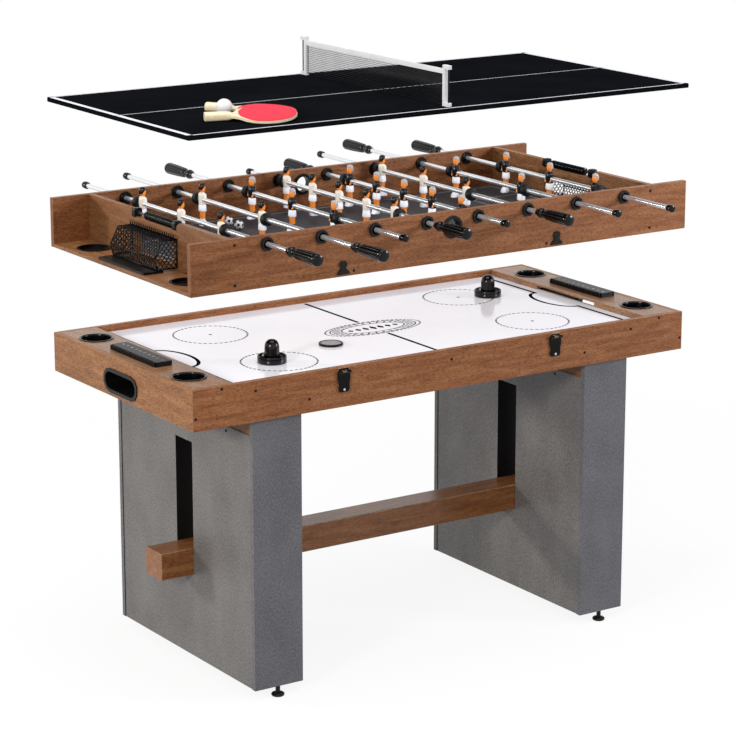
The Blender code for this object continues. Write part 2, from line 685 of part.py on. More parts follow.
def pedestal_core(name, end, mat):
    """Box frame of a pedestal: slotted side panels, head rail, foot rail and slot cheeks."""
    centre = end * PEDESTAL_FROM_MIDDLE
    half_x = PEDESTAL_WIDTH / 2 - PANEL_INSET
    half_y = PEDESTAL_HALF_DEPTH - BOARD - GAP
    core = add_object(name, lambda bm: box(bm, (centre - half_x, -half_y, PEDESTAL_BOTTOM),
                                           (centre + half_x, half_y, PEDESTAL_TOP)), mat)
    slot_half = SLOT_WIDTH / 2

    def chambers(bm):
        for side in (-1, 1):
            ends = sorted((side * (slot_half + CHEEK), side * (half_y + OVERRUN)))
            box(bm, (centre - half_x + BOARD, ends[0], PEDESTAL_BOTTOM + PANEL_RAIL),
                (centre + half_x - BOARD, ends[1], HEAD_BOTTOM - PANEL_RAIL))

    def slot(bm):
        box(bm, (centre - half_x - OVERRUN, -slot_half, BEAM_BOTTOM - GAP),
            (centre + half_x + OVERRUN, slot_half, SLOT_TOP))

    def head_steps(bm):
        for way in (-1, 1):
            ends = sorted((centre + way * (half_x - HEAD_INSET), centre + way * (half_x + OVERRUN)))
            box(bm, (ends[0], -half_y - OVERRUN, HEAD_BOTTOM),
                (ends[1], half_y + OVERRUN, PEDESTAL_TOP + OVERRUN))

    boolean(core, "DIFFERENCE", chambers, "chambers")
    boolean(core, "DIFFERENCE", slot, "slot")
    boolean(core, "DIFFERENCE", head_steps, "head_steps")
    return core


def pedestal_board(name, end, side, mat):
    """Front or back board of a pedestal, with its levelling foot screwed in below."""
    centre = end * PEDESTAL_FROM_MIDDLE
    faces = sorted((side * (PEDESTAL_HALF_DEPTH - BOARD), side * PEDESTAL_HALF_DEPTH))
    board = add_object(name, lambda bm: box(
        bm, (centre - PEDESTAL_WIDTH / 2, faces[0], PEDESTAL_BOTTOM),
        (centre + PEDESTAL_WIDTH / 2, faces[1], PEDESTAL_TOP)), mat)
    profile = [
        (0, 0), (FOOT_RADIUS - FOOT_EDGE, 0), (FOOT_RADIUS, FOOT_EDGE), (FOOT_RADIUS, FOOT_PAD - FOOT_EDGE),
        (FOOT_RADIUS - FOOT_EDGE, FOOT_PAD), (FOOT_STEM_RADIUS, FOOT_PAD),
        (FOOT_STEM_RADIUS, PEDESTAL_BOTTOM + FOOT_STEM_REACH), (0, PEDESTAL_BOTTOM + FOOT_STEM_REACH),
    ]
    foot_y = side * (PEDESTAL_HALF_DEPTH - BOARD / 2)
    boolean(board, "UNION", lambda bm: turned(bm, profile, FOOT_SEGMENTS, "Z", (centre, foot_y, 0)), "foot")
    return board


def stretcher_beam(mat):
    """Beam through the slots of both pedestals, resting on their lower ends."""
    half = BEAM_WIDTH / 2
    bevel = BEAM_BEVEL
    top = BEAM_BOTTOM + BEAM_HEIGHT
    outline = [(-half, BEAM_BOTTOM + bevel), (-half + bevel, BEAM_BOTTOM), (half - bevel, BEAM_BOTTOM),
               (half, BEAM_BOTTOM + bevel), (half, top - bevel), (half - bevel, top),
               (-half + bevel, top), (-half, top - bevel)]
    return add_object("stretcher_beam", lambda bm: prism(bm, outline, "X", -BEAM_LENGTH / 2,
                                                         BEAM_LENGTH / 2), mat)


def pusher(name, place, mat):
    """Striker: a dished base with a turned knob."""
    profile = [(radius * PUSHER_RADIUS, height * PUSHER_HEIGHT)
               for radius, height in PUSHER_PROFILE_SHARES]
    return add_object(name, lambda bm: turned(bm, profile, PUSHER_SEGMENTS), mat,
                      location=(*place, FIELD_TOP + GAP), smooth=True)


def puck(mat):
    """Flat puck with broken edges."""
    radius = PUCK_RADIUS - PUCK_EDGE
    profile = [(0, 0), (radius, 0), (PUCK_RADIUS, PUCK_EDGE), (PUCK_RADIUS, PUCK_THICKNESS - PUCK_EDGE),
               (radius, PUCK_THICKNESS), (0, PUCK_THICKNESS)]
    return add_object("puck", lambda bm: turned(bm, profile, PUSHER_SEGMENTS), mat,
                      location=(*PUCK_PLACE, FIELD_TOP + GAP), smooth=True)


# Football tray, in its own frame: z = 0 at the bottom of its walls


def rod_x(index):
    """Return the place of a rod along the table."""
    return (index - (len(RODS) - 1) / 2) * ROD_PITCH


def tray_side(name, side, mat, tray):
    """Long wall of the tray with its rod bushes, ball entry ring and latch catches."""
    outer = side * HALF_WIDTH
    inner = side * INNER_HALF_WIDTH
    faces = sorted((outer, inner))
    wall = add_object(name, lambda bm: box(bm, (-HALF_LENGTH, faces[0], 0),
                                           (HALF_LENGTH, faces[1], TRAY_HEIGHT)), mat, parent=tray)
    bush = sorted((outer + side * BUSH_OUT, inner - side * BUSH_IN))
    entry = sorted((outer + side * ENTRY_RIM, inner - side * ENTRY_RIM))
    through = sorted((outer + side * OVERRUN, inner - side * OVERRUN))
    bore = (ROD_RADIUS + BUSH_BORE_CLEARANCE) / math.cos(math.pi / BUSH_SEGMENTS)

    def fittings(bm):
        for index in range(len(RODS)):
            rod_between(bm, BUSH_RADIUS, *bush, BUSH_SEGMENTS, "Y", (rod_x(index), 0, ROD_AXIS_HEIGHT))
        rod_between(bm, ENTRY_RIM_RADIUS, *entry, ENTRY_SEGMENTS, "Y", (0, 0, ENTRY_HEIGHT))
        for x in (-LATCH_FROM_MIDDLE, LATCH_FROM_MIDDLE):
            plate = sorted((outer - side * CATCH_THICKNESS, outer + side * CATCH_THICKNESS))
            rise = CATCH_TOP - CATCH_BOTTOM
            half = [(CATCH_WIDTH * wide, CATCH_BOTTOM + rise * up) for wide, up in CATCH_SHARES]
            outline = [(x + wide, z) for wide, z in half] + [(x - wide, z) for wide, z in reversed(half)]
            prism(bm, outline, "Y", *plate)

    def bores(bm):
        for index in range(len(RODS)):
            rod_between(bm, bore, *through, BUSH_SEGMENTS, "Y", (rod_x(index), 0, ROD_AXIS_HEIGHT))
        rod_between(bm, ENTRY_RADIUS, *through, ENTRY_SEGMENTS, "Y", (0, 0, ENTRY_HEIGHT))

    boolean(wall, "UNION", fittings, "fittings")
    boolean(wall, "DIFFERENCE", bores, "bores")
    return wall


def tray_end(name, end, mat, tray):
    """End wall with its goal mouth, the cut-out in its top edge, and the bead rod and blocks."""
    faces = sorted((end * DECK_INNER_X, end * (DECK_INNER_X + BOARD)))
    half = INNER_HALF_WIDTH - GAP
    wall = add_object(name, lambda bm: box(bm, (faces[0], -half, TRAY_BASE + GAP),
                                           (faces[1], half, TRAY_HEIGHT)), mat, parent=tray)
    cut = sorted((faces[0] - OVERRUN, faces[1] + OVERRUN))
    low = TRAY_HEIGHT - CUTOUT_DEPTH
    over = CUTOUT_HALF_WIDTH + CUTOUT_SLOPE * OVERRUN / CUTOUT_DEPTH
    notch = [(-over, TRAY_HEIGHT + OVERRUN), (-CUTOUT_HALF_WIDTH + CUTOUT_SLOPE, low),
             (CUTOUT_HALF_WIDTH - CUTOUT_SLOPE, low), (over, TRAY_HEIGHT + OVERRUN)]
    mouth = [(-GOAL_HALF_WIDTH, TRAY_FIELD_TOP), (GOAL_HALF_WIDTH, TRAY_FIELD_TOP)]
    for side in (1, -1):
        for i in range(GOAL_CORNER_STEPS + 1):
            turn = math.pi / 2 * i / GOAL_CORNER_STEPS
            if side < 0:
                turn = math.pi / 2 - turn
            mouth.append((side * (GOAL_HALF_WIDTH - GOAL_CORNER + GOAL_CORNER * math.cos(turn)),
                          GOAL_TOP - GOAL_CORNER + GOAL_CORNER * math.sin(turn)))
    rod_z = TRAY_HEIGHT - BEAD_ROD_BELOW_TOP
    centre = (end * (DECK_INNER_X + BOARD / 2), 0, rod_z)

    def blocks(bm):
        for side in (-1, 1):
            ends = sorted((side * (BEAD_BLOCK_FROM_MIDDLE - BEAD_BLOCK_WIDTH / 2),
                           side * (BEAD_BLOCK_FROM_MIDDLE + BEAD_BLOCK_WIDTH / 2)))
            rod_between(bm, BEAD_BLOCK_RADIUS, *ends, BEAD_SEGMENTS, "Y", centre)

    boolean(wall, "DIFFERENCE", lambda bm: prism(bm, notch, "X", *cut), "cut_out")
    boolean(wall, "DIFFERENCE", lambda bm: prism(bm, mouth, "X", *cut), "goal_mouth")
    boolean(wall, "UNION", blocks, "bead_blocks")
    boolean(wall, "UNION", lambda bm: rod_between(bm, BEAD_ROD_RADIUS, -BEAD_BLOCK_FROM_MIDDLE,
                                                  BEAD_BLOCK_FROM_MIDDLE, BEAD_SEGMENTS, "Y", centre),
            "bead_rod")
    return wall


def bead_stack(name, end, push, mat, tray):
    """Ribbed score beads threaded on the end wall's rod, pushed along it."""
    bore = BEAD_ROD_RADIUS + GAP
    start = -BEAD_COUNT * BEAD_LENGTH / 2
    profile = [(bore, start), (BEAD_GROOVE_RADIUS, start)]
    for i in range(BEAD_COUNT):
        near = start + i * BEAD_LENGTH
        far = near + BEAD_LENGTH
        profile += [(BEAD_RADIUS, near + BEAD_GROOVE / 2), (BEAD_RADIUS, far - BEAD_GROOVE / 2)]
        if i < BEAD_COUNT - 1:
            profile.append((BEAD_GROOVE_RADIUS, far))
    profile += [(BEAD_GROOVE_RADIUS, -start), (bore, -start)]
    return add_object(name, lambda bm: turned(bm, profile, BEAD_SEGMENTS, "Y", closed=True), mat,
                      location=(end * (DECK_INNER_X + BOARD / 2), push, TRAY_HEIGHT - BEAD_ROD_BELOW_TOP),
                      parent=tray)


def foosball_bed(mat, tray):
    """Base board, with two cup recesses and a score plate in each end bay."""
    half = INNER_HALF_WIDTH - GAP
    bed = add_object("foosball_bed", lambda bm: box(bm, (-HALF_LENGTH, -half, 0),
                                                    (HALF_LENGTH, half, TRAY_BASE)), mat, parent=tray)
    scorer_x = HALF_LENGTH - BAY_SCORER_OUT

    def fittings(bm):
        for end in (-1, 1):
            box(bm, (end * scorer_x - BAY_SCORER_WIDTH / 2, -SCORER_LENGTH / 2, TRAY_BASE / 2),
                (end * scorer_x + BAY_SCORER_WIDTH / 2, SCORER_LENGTH / 2, TRAY_BASE + BAY_SCORER_HEIGHT))
            for y in (-CUP_FROM_MIDDLE, CUP_FROM_MIDDLE):
                rod_between(bm, CUP_RIM_RADIUS, TRAY_BASE / 2, TRAY_BASE + CUP_RIM_HEIGHT, CUP_SEGMENTS,
                            "Z", (end * DECK_CENTRE_X, y, 0))

    def recesses(bm):
        for end in (-1, 1):
            for y in (-CUP_FROM_MIDDLE, CUP_FROM_MIDDLE):
                rod_between(bm, CUP_RADIUS, TRAY_BASE - BAY_CUP_DEPTH, TRAY_BASE + OVERRUN, CUP_SEGMENTS,
                            "Z", (end * DECK_CENTRE_X, y, 0))

    boolean(bed, "UNION", fittings, "fittings")
    boolean(bed, "DIFFERENCE", recesses, "cup_recesses")
    return bed


def foosball_pitch(mat, tray):
    """Playing board, laid on the base board between the end walls."""
    half = INNER_HALF_WIDTH - GAP
    field_end = DECK_INNER_X - GAP
    return add_object("foosball_pitch", lambda bm: box(bm, (-field_end, -half, TRAY_BASE + GAP),
                                                       (field_end, half, TRAY_FIELD_TOP)), mat, parent=tray)


def goal_cage(name, end, mat, tray):
    """Wire cage behind a goal mouth: a bent mesh hood with a mesh plate at each side."""
    wall_x = DECK_INNER_X + BOARD + GAP
    section = [(0, CAGE_TOP), (CAGE_TOP_REACH, CAGE_TOP), (CAGE_KNEE_REACH, CAGE_KNEE),
               (CAGE_FOOT_REACH, CAGE_BOTTOM)]
    lengths = [math.dist(a, b) for a, b in zip(section, section[1:])]
    v_lines = [0, CAGE_WIRE, lengths[0] - CAGE_WIRE, lengths[0] + CAGE_WIRE,
               lengths[0] + lengths[1] / 2 - CAGE_WIRE / 2, lengths[0] + lengths[1] / 2 + CAGE_WIRE / 2,
               lengths[0] + lengths[1] - CAGE_WIRE / 2, lengths[0] + lengths[1] + CAGE_WIRE / 2,
               sum(lengths) - CAGE_WIRE, sum(lengths)]

    def on_section(v, w):
        for a, b, length in zip(section, section[1:], lengths):
            if v <= length or b == section[-1]:
                share = v / length
                along = ((b[0] - a[0]) / length, (b[1] - a[1]) / length)
                return (a[0] + (b[0] - a[0]) * share + along[1] * w,
                        a[1] + (b[1] - a[1]) * share - along[0] * w)
            v -= length
        return section[-1]

    def place(u, v, w):
        x, z = on_section(v, w)
        return (end * (wall_x + x), u, z)

    u_lines = lattice_lines(-CAGE_HALF_WIDTH, CAGE_HALF_WIDTH, CAGE_COLUMNS, CAGE_WIRE)
    cage = add_object(name, lambda bm: pierced_sheet(
        bm, place, u_lines, v_lines, CAGE_WIRE, lambda i, j: i % 2 == 1 and j % 2 == 1), mat, parent=tray)

    def sides(bm):
        for side in (-1, 1):
            outer_y = side * CAGE_HALF_WIDTH
            heights = [CAGE_BOTTOM, CAGE_BOTTOM + CAGE_WIRE, CAGE_KNEE, CAGE_KNEE + CAGE_WIRE,
                       CAGE_TOP - 2 * CAGE_WIRE, CAGE_TOP - CAGE_WIRE / 2]

            def reach(z):
                if z < CAGE_KNEE:
                    share = (z - CAGE_BOTTOM) / (CAGE_KNEE - CAGE_BOTTOM)
                    return CAGE_FOOT_REACH + (CAGE_KNEE_REACH - CAGE_FOOT_REACH) * share - CAGE_WIRE / 2
                share = (z - CAGE_KNEE) / (CAGE_TOP - CAGE_KNEE)
                return CAGE_KNEE_REACH + (CAGE_TOP_REACH - CAGE_KNEE_REACH) * share - CAGE_WIRE / 2

            shares = lattice_lines(0, 1, CAGE_SIDE_COLUMNS, CAGE_WIRE / CAGE_TOP_REACH)
            pierced_sheet(bm, lambda u, v, w: (end * (wall_x + u * reach(v)), outer_y - side * w, v),
                          shares, heights, CAGE_WIRE * 0.9, lambda i, j: i % 2 == 1 and j % 2 == 1)

    boolean(cage, "UNION", sides, "sides")
    return cage


def figure(bm, y, facing):
    """Add a player figure round the rod axis, its chest towards facing along X."""
    height = FIGURE_ABOVE + FIGURE_BELOW
    loops = []
    for level, wide, deep, forward in FIGURE_SHARES:
        half_y = FIGURE_WIDTH / 2 * wide
        half_x = FIGURE_DEPTH / 2 * deep
        shift = facing * FIGURE_DEPTH / 2 * forward
        z = level * height - FIGURE_BELOW
        cut = half_y * FIGURE_CORNER_SHARE
        loops.append([(shift + px, y + py, z) for px, py in (
            (half_x, -cut), (half_x, cut), (0, half_y), (-half_x, cut), (-half_x, -cut), (0, -half_y))])
    rings(bm, loops)


def bumper_start(figures):
    """Return how far from the rod's middle its bumper rings begin."""
    return figures[-1] + FIGURE_WIDTH / 2 + BUMPER_CLEARANCE


def player_rod(name, index, rod_type, handle_side, push, mat, tray):
    """Rod with handle, end cap, far bumper ring and figures; its origin is on its axis."""
    figures, handle_reach, cap_reach = rod_type
    near = bumper_start(figures)
    grip = handle_reach
    profile = [(HANDLE_RADIUS * radius, grip - HANDLE_LENGTH * along) for radius, along in HANDLE_SHARES]
    profile += [
        (HANDLE_NECK_RADIUS, grip - HANDLE_LENGTH), (ROD_RADIUS, grip - HANDLE_LENGTH),
        (ROD_RADIUS, -near), (BUMPER_RADIUS, -near), (BUMPER_RADIUS, -near - BUMPER_LENGTH),
        (ROD_RADIUS, -near - BUMPER_LENGTH), (ROD_RADIUS, CAP_LENGTH - cap_reach),
        (CAP_RADIUS, CAP_LENGTH - cap_reach), (CAP_RADIUS, CAP_RADIUS / 4 - cap_reach),
        (CAP_RADIUS * 3 / 4, -cap_reach), (0, -cap_reach),
    ]
    profile = [(radius, along * handle_side) for radius, along in profile]
    rod = add_object(name, lambda bm: turned(bm, profile, ROD_SEGMENTS, "Y"), mat,
                     location=(rod_x(index), push, ROD_AXIS_HEIGHT), parent=tray, smooth=True)
    facing = 1 if handle_side == FRONT else -1

    def figures_on_rod(bm):
        for y in figures:
            figure(bm, y, facing)

    boolean(rod, "UNION", figures_on_rod, "figures")
    return rod


def rod_bumper(name, index, rod_type, handle_side, push, mat, tray):
    """Loose bumper ring between the outer figure on the handle's side and the bush."""
    near = bumper_start(rod_type[0])
    bore = (ROD_RADIUS + GAP) / math.cos(math.pi / ROD_SEGMENTS)
    ends = sorted((handle_side * near, handle_side * (near + BUMPER_LENGTH)))
    profile = [(bore, ends[0]), (BUMPER_RADIUS, ends[0]), (BUMPER_RADIUS, ends[1]), (bore, ends[1])]
    return add_object(name, lambda bm: turned(bm, profile, ROD_SEGMENTS, "Y", closed=True), mat,
                      location=(rod_x(index), push, ROD_AXIS_HEIGHT), parent=tray)


# Tennis board, in its own frame: z = 0 at the board's top


def tennis_top(mat, tennis):
    """Playing board with broken edges."""
    half_x = HALF_LENGTH
    half_y = HALF_WIDTH
    levels = ((-TENNIS_BOARD, TENNIS_EDGE), (TENNIS_EDGE - TENNIS_BOARD, 0), (-TENNIS_EDGE, 0),
              (0, TENNIS_EDGE))
    loops = [[(sx * (half_x - inset), sy * (half_y - inset), z)
              for sx, sy in ((-1, -1), (1, -1), (1, 1), (-1, 1))] for z, inset in levels]
    return add_object("tennis_top", lambda bm: rings(bm, loops), mat, parent=tennis)


def tennis_net(mat, tennis):
    """Stretched net with its top tape, its hem, and a clamp post at each end."""
    columns = lattice_lines(-NET_HALF_WIDTH, NET_HALF_WIDTH, NET_COLUMNS, NET_CORD)
    rows = lattice_lines(NET_BOTTOM + NET_HEM - NET_CORD, NET_TOP - NET_TAPE + NET_CORD, NET_ROWS, NET_CORD)
    rows[0] = NET_BOTTOM
    rows[-1] = NET_TOP
    half = NET_THICKNESS / 2
    net = add_object("tennis_net", lambda bm: pierced_sheet(
        bm, lambda u, v, w: (w - half, u, v), columns, rows, NET_THICKNESS,
        lambda i, j: i % 2 == 1 and j % 2 == 1), mat, parent=tennis)

    def posts(bm):
        for side in (-1, 1):
            inner = NET_HALF_WIDTH - NET_CORD
            outer = NET_HALF_WIDTH + POST_WIDTH
            reach = outer + POST_ARM_REACH - POST_WIDTH
            outline = [(inner, GAP), (reach, GAP), (reach, POST_ARM), (outer, POST_ARM),
                       (outer, POST_HEIGHT - POST_ARM), (reach, POST_HEIGHT - POST_ARM),
                       (reach, POST_HEIGHT), (inner, POST_HEIGHT)]
            prism(bm, [(side * y, z) for y, z in outline], "X", -POST_DEPTH / 2, POST_DEPTH / 2)

    boolean(net, "UNION", posts, "posts")
    return net


def bat_rest(contacts):
    """Return how a bat lies whose middle plane passes over three contacts: lift, tilt and roll.

    Each contact is given along the bat, across it, and by the plane's height over the board.
    """
    plane = Matrix([(1, along, across) for along, across, _ in contacts])
    lift, climb, lean = plane.inverted() @ Vector([height for _, _, height in contacts])
    return lift, -math.atan(climb), math.atan(lean)


def bats_at_rest():
    """Rest the rear bat on the board, and the front one on the board and the rear one's blade."""
    on_grip = GRIP_THICKNESS / 2 + GAP
    on_blade = BLADE_THICKNESS / 2 + GAP
    rear = bat_rest([(BLADE_NECK_X, GRIP_WIDTH / 2, on_grip), (BLADE_NECK_X, -GRIP_WIDTH / 2, on_grip),
                     (BLADE_HALF_LENGTH, 0, on_blade)])
    touch = Vector((BLADE_HALF_LENGTH * math.cos(BAT_REAR_TOUCH), BLADE_HALF_WIDTH * math.sin(BAT_REAR_TOUCH)))
    rear_top = rear[0] - touch.x * math.tan(rear[1]) + BLADE_THICKNESS + GAP
    touch.rotate(Matrix.Rotation(BAT_REAR_TURN, 2))
    touch += Vector(BAT_REAR_PLACE) - Vector(BAT_FRONT_PLACE)
    touch.rotate(Matrix.Rotation(-BAT_FRONT_TURN, 2))
    front = bat_rest([(touch.x, touch.y, rear_top), (GRIP_END_X, -GRIP_END_WIDTH / 3, on_grip),
                      (BLADE_HALF_LENGTH * math.cos(BAT_FRONT_TOUCH),
                       BLADE_HALF_WIDTH * math.sin(BAT_FRONT_TOUCH), on_blade)])
    return front, rear


def bat(name, place, turn, rest, mat, tennis):
    """Table-tennis bat: a round blade running into its neck, with a thicker grip."""
    lift, tilt, roll = rest
    outline = []
    for i in range(BLADE_STEPS + 1):
        angle = -BLADE_ARC + 2 * BLADE_ARC * i / BLADE_STEPS
        outline.append((BLADE_HALF_LENGTH * math.cos(angle), BLADE_HALF_WIDTH * math.sin(angle)))
    tail_x = GRIP_END_X + GRIP_OVERLAP
    outline += [(BLADE_NECK_X + SHOULDER_LENGTH / 2, SHOULDER_WIDTH / 2), (BLADE_NECK_X, GRIP_WIDTH / 2),
                (tail_x, GRIP_WIDTH / 2), (tail_x, -GRIP_WIDTH / 2),
                (BLADE_NECK_X, -GRIP_WIDTH / 2), (BLADE_NECK_X + SHOULDER_LENGTH / 2, -SHOULDER_WIDTH / 2)]
    half = BLADE_THICKNESS / 2
    blade = add_object(name, lambda bm: prism(bm, outline, "Z", -half, half), mat,
                       location=(*place, lift), rotation=(roll, tilt, turn), parent=tennis)

    def grip(bm):
        loops = []
        for x, width in ((BLADE_NECK_X, GRIP_WIDTH), (BLADE_NECK_X - GRIP_LENGTH / 2, GRIP_WIDTH),
                         (GRIP_END_X, GRIP_END_WIDTH)):
            half_y = width / 2 + GAP
            half_z = GRIP_THICKNESS / 2
            loops.append([(x, half_y * cy, half_z * cz) for cy, cz in GRIP_SECTION_SHARES])
        rings(bm, loops)

    boolean(blade, "UNION", grip, "grip")
    return blade


def tennis_ball(mat, tennis):
    """Ball resting beside the bats."""
    return add_object("tennis_ball", lambda bm: bmesh.ops.create_uvsphere(
        bm, u_segments=BALL_SEGMENTS, v_segments=BALL_RINGS, radius=BALL_RADIUS), mat,
        location=(*BALL_PLACE, BALL_RADIUS + GAP), parent=tennis, smooth=True)


def build():
    """Build the whole table."""
    clear_scene()
    wood = material("wood_laminate", (0.30, 0.16, 0.07), 0.5)
    grey = material("grey_laminate", (0.15, 0.14, 0.14), 0.7)
    white = material("white_field", (0.85, 0.85, 0.88), 0.15)
    black = material("black_plastic", (0.02, 0.02, 0.02), 0.35)
    steel = material("chromed_steel", (0.75, 0.75, 0.78), 0.15, 1.0)
    board_black = material("black_board", (0.012, 0.013, 0.015), 0.35)
    net_mat = material("net", (0.05, 0.05, 0.05), 0.8)
    red = material("red_rubber", (0.75, 0.03, 0.06), 0.6)
    ball_white = material("white_plastic", (0.9, 0.9, 0.9), 0.4)

    ends = (("left", -1), ("right", 1))
    sides = (("front", FRONT), ("back", BACK))
    for side_name, side in sides:
        long_apron(f"{side_name}_apron", side, wood)
        for end_name, end in ends:
            latch_lever(f"latch_{side_name}_{end_name}", end * LATCH_FROM_MIDDLE, side, black)
            pedestal_board(f"pedestal_{end_name}_{side_name}_board", end, side, grey)
            cup_holder(f"cup_holder_{side_name}_{end_name}", end * DECK_CENTRE_X,
                       side * CUP_FROM_MIDDLE, black)
    for end_name, end in ends:
        end_apron(f"{end_name}_end_apron", end, wood)
        end_deck(f"{end_name}_deck", end, wood)
        deck_scorer(f"{end_name}_deck_scorer", end, black)
        puck_return(f"{end_name}_puck_return", end, black)
        pedestal_core(f"pedestal_{end_name}_core", end, grey)
    hockey_field(white)
    stretcher_beam(wood)
    pusher("pusher_left", PUSHER_LEFT_PLACE, black)
    pusher("pusher_right", PUSHER_RIGHT_PLACE, black)
    puck(black)

    tray = add_empty("football_tray", (0, 0, TRAY_FLOOR))
    for side_name, side in sides:
        tray_side(f"tray_{side_name}_wall", side, wood, tray)
    bead_reach = BEAD_BLOCK_FROM_MIDDLE - BEAD_BLOCK_WIDTH / 2 - BEAD_COUNT * BEAD_LENGTH / 2
    bead_push = {"left": GAP - bead_reach, "right": bead_reach - BEADS_RIGHT_FROM_BACK}
    for end_name, end in ends:
        tray_end(f"tray_{end_name}_wall", end, wood, tray)
        goal_cage(f"goal_cage_{end_name}", end, black, tray)
        bead_stack(f"score_beads_{end_name}", end, bead_push[end_name], black, tray)
    foosball_bed(wood, tray)
    foosball_pitch(board_black, tray)
    for index, (name, rod_type, handle_side, push) in enumerate(RODS):
        player_rod(name, index, rod_type, handle_side, push, steel, tray)
        rod_bumper(f"bumper_{index + 1}", index, rod_type, handle_side, push, black, tray)

    tennis = add_empty("tennis_unit", (0, 0, TENNIS_TOP))
    tennis_top(board_black, tennis)
    tennis_net(net_mat, tennis)
    front_rest, rear_rest = bats_at_rest()
    bat("bat_front", BAT_FRONT_PLACE, BAT_FRONT_TURN, front_rest, red, tennis)
    bat("bat_rear", BAT_REAR_PLACE, BAT_REAR_TURN, rear_rest, red, tennis)
    tennis_ball(ball_white, tennis)


build()
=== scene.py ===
"""Dressed model of a three-in-one games table, shown with its two upper tops lifted off.

Everything is in metres, +Z up, +X along the table and -Y towards its front.
"""

from __future__ import annotations

import logging
import math
from dataclasses import dataclass
from enum import Enum, IntEnum
from typing import Any, Callable, Iterable, Sequence

import bmesh
import bpy
from mathutils import Euler, Matrix, Vector

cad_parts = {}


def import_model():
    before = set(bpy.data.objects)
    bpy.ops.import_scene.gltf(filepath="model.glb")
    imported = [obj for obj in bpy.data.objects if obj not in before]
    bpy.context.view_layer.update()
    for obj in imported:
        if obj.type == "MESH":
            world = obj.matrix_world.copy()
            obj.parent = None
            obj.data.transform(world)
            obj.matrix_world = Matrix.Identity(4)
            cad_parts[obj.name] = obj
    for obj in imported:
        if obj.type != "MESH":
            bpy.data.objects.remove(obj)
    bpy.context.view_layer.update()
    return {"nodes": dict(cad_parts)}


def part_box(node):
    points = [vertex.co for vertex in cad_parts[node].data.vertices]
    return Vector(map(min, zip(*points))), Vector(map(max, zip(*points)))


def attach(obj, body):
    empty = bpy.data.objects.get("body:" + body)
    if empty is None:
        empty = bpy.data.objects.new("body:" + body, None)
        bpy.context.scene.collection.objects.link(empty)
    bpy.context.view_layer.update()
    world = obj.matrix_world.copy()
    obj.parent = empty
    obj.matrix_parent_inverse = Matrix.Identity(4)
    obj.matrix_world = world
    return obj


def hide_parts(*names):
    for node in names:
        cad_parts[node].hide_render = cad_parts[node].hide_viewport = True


LOG = logging.getLogger("games_table")
MM = 0.001
ORIGIN = (0.0, 0.0, 0.0)
ENDS = (("left", -1), ("right", 1))
SIDES = (("front", -1), ("back", 1))
Point = tuple[float, float, float]
Pair = tuple[float, float]
Tree = bpy.types.NodeTree
Socket = bpy.types.NodeSocket
Thing = bpy.types.Object
Pick = Callable[[Vector, Vector], int]


class Axis(Enum):
    """A direction along the table."""

    X = 0
    Y = 1
    Z = 2


class Side(Enum):
    """The side of the table that a rod's handle is on, and so its team's side."""

    FRONT = -1
    BACK = 1


# Materials


def linear(colour: str) -> tuple[float, float, float, float]:
    """Turn an sRGB hex colour into linear values.

    Args:
        colour: six hex digits with a leading hash.

    Returns:
        Red, green, blue and an alpha of one.
    """
    parts = [int(colour[i:i + 2], 16) / 255 for i in (1, 3, 5)]
    red, green, blue = (v / 12.92 if v <= 0.04045 else ((v + 0.055) / 1.055) ** 2.4 for v in parts)
    return red, green, blue, 1.0


def feed(tree: Tree, node: bpy.types.Node, inputs: dict[Any, Any]) -> None:
    """Link a node's inputs to sockets, or set them to values.

    Args:
        tree: the node tree.
        node: the node.
        inputs: values or sockets by input name or number.
    """
    for key, value in inputs.items():
        if isinstance(value, Socket):
            tree.links.new(value, node.inputs[key])
        else:
            node.inputs[key].default_value = value


def add_node(tree: Tree, kind: str, inputs: dict[Any, Any] | None = None,
             **settings: Any) -> bpy.types.Node:
    """Add a shader node with its settings, values and links.

    Args:
        tree: the node tree to add to.
        kind: the node's type without its ShaderNode prefix.
        inputs: values or sockets by input name or number.
        settings: attributes of the node.

    Returns:
        The new node.
    """
    node = tree.nodes.new("ShaderNode" + kind)
    for name, value in settings.items():
        setattr(node, name, value)
    feed(tree, node, inputs or {})
    return node


def noise(tree: Tree, size_mm: Sequence[float], detail: float = 2.0, roughness: float = 0.5,
          distortion: float = 0.0) -> Socket:
    """Return noise over the piece's own coordinates.

    Args:
        tree: the material's node tree.
        size_mm: how wide the pattern is along X, Y and Z.
        detail: how many finer layers it has.
        roughness: how strong the finer layers are.
        distortion: how far it is warped.

    Returns:
        The noise's factor.
    """
    coord = add_node(tree, "TexCoord")
    place = add_node(tree, "Mapping", {"Vector": coord.outputs["Object"],
                                       "Scale": [1 / (size * MM) for size in size_mm]})
    return add_node(tree, "TexNoise", {"Vector": place.outputs[0], "Scale": 1.0, "Detail": detail,
                                       "Roughness": roughness, "Distortion": distortion}).outputs["Fac"]


def ramp(tree: Tree, factor: Socket, *stops: tuple[float, str]) -> Socket:
    """Return a colour ramp's output.

    Args:
        tree: the material's node tree.
        factor: what drives the ramp.
        stops: positions and hex colours, in order.

    Returns:
        The colour socket.
    """
    node = add_node(tree, "ValToRGB", {"Fac": factor})
    elements = node.color_ramp.elements
    while len(elements) < len(stops):
        elements.new(0.5)
    for element, (position, colour) in zip(elements, stops):
        element.position = position
        element.color = linear(colour)
    return node.outputs["Color"]


def blend(tree: Tree, share: float, first: Any, second: Any, mode: str = "MIX") -> Socket:
    """Return two colours or sockets mixed, with a share of the second."""
    inputs = {"Fac": share, "Color1": first, "Color2": second}
    return add_node(tree, "MixRGB", inputs, blend_type=mode).outputs["Color"]


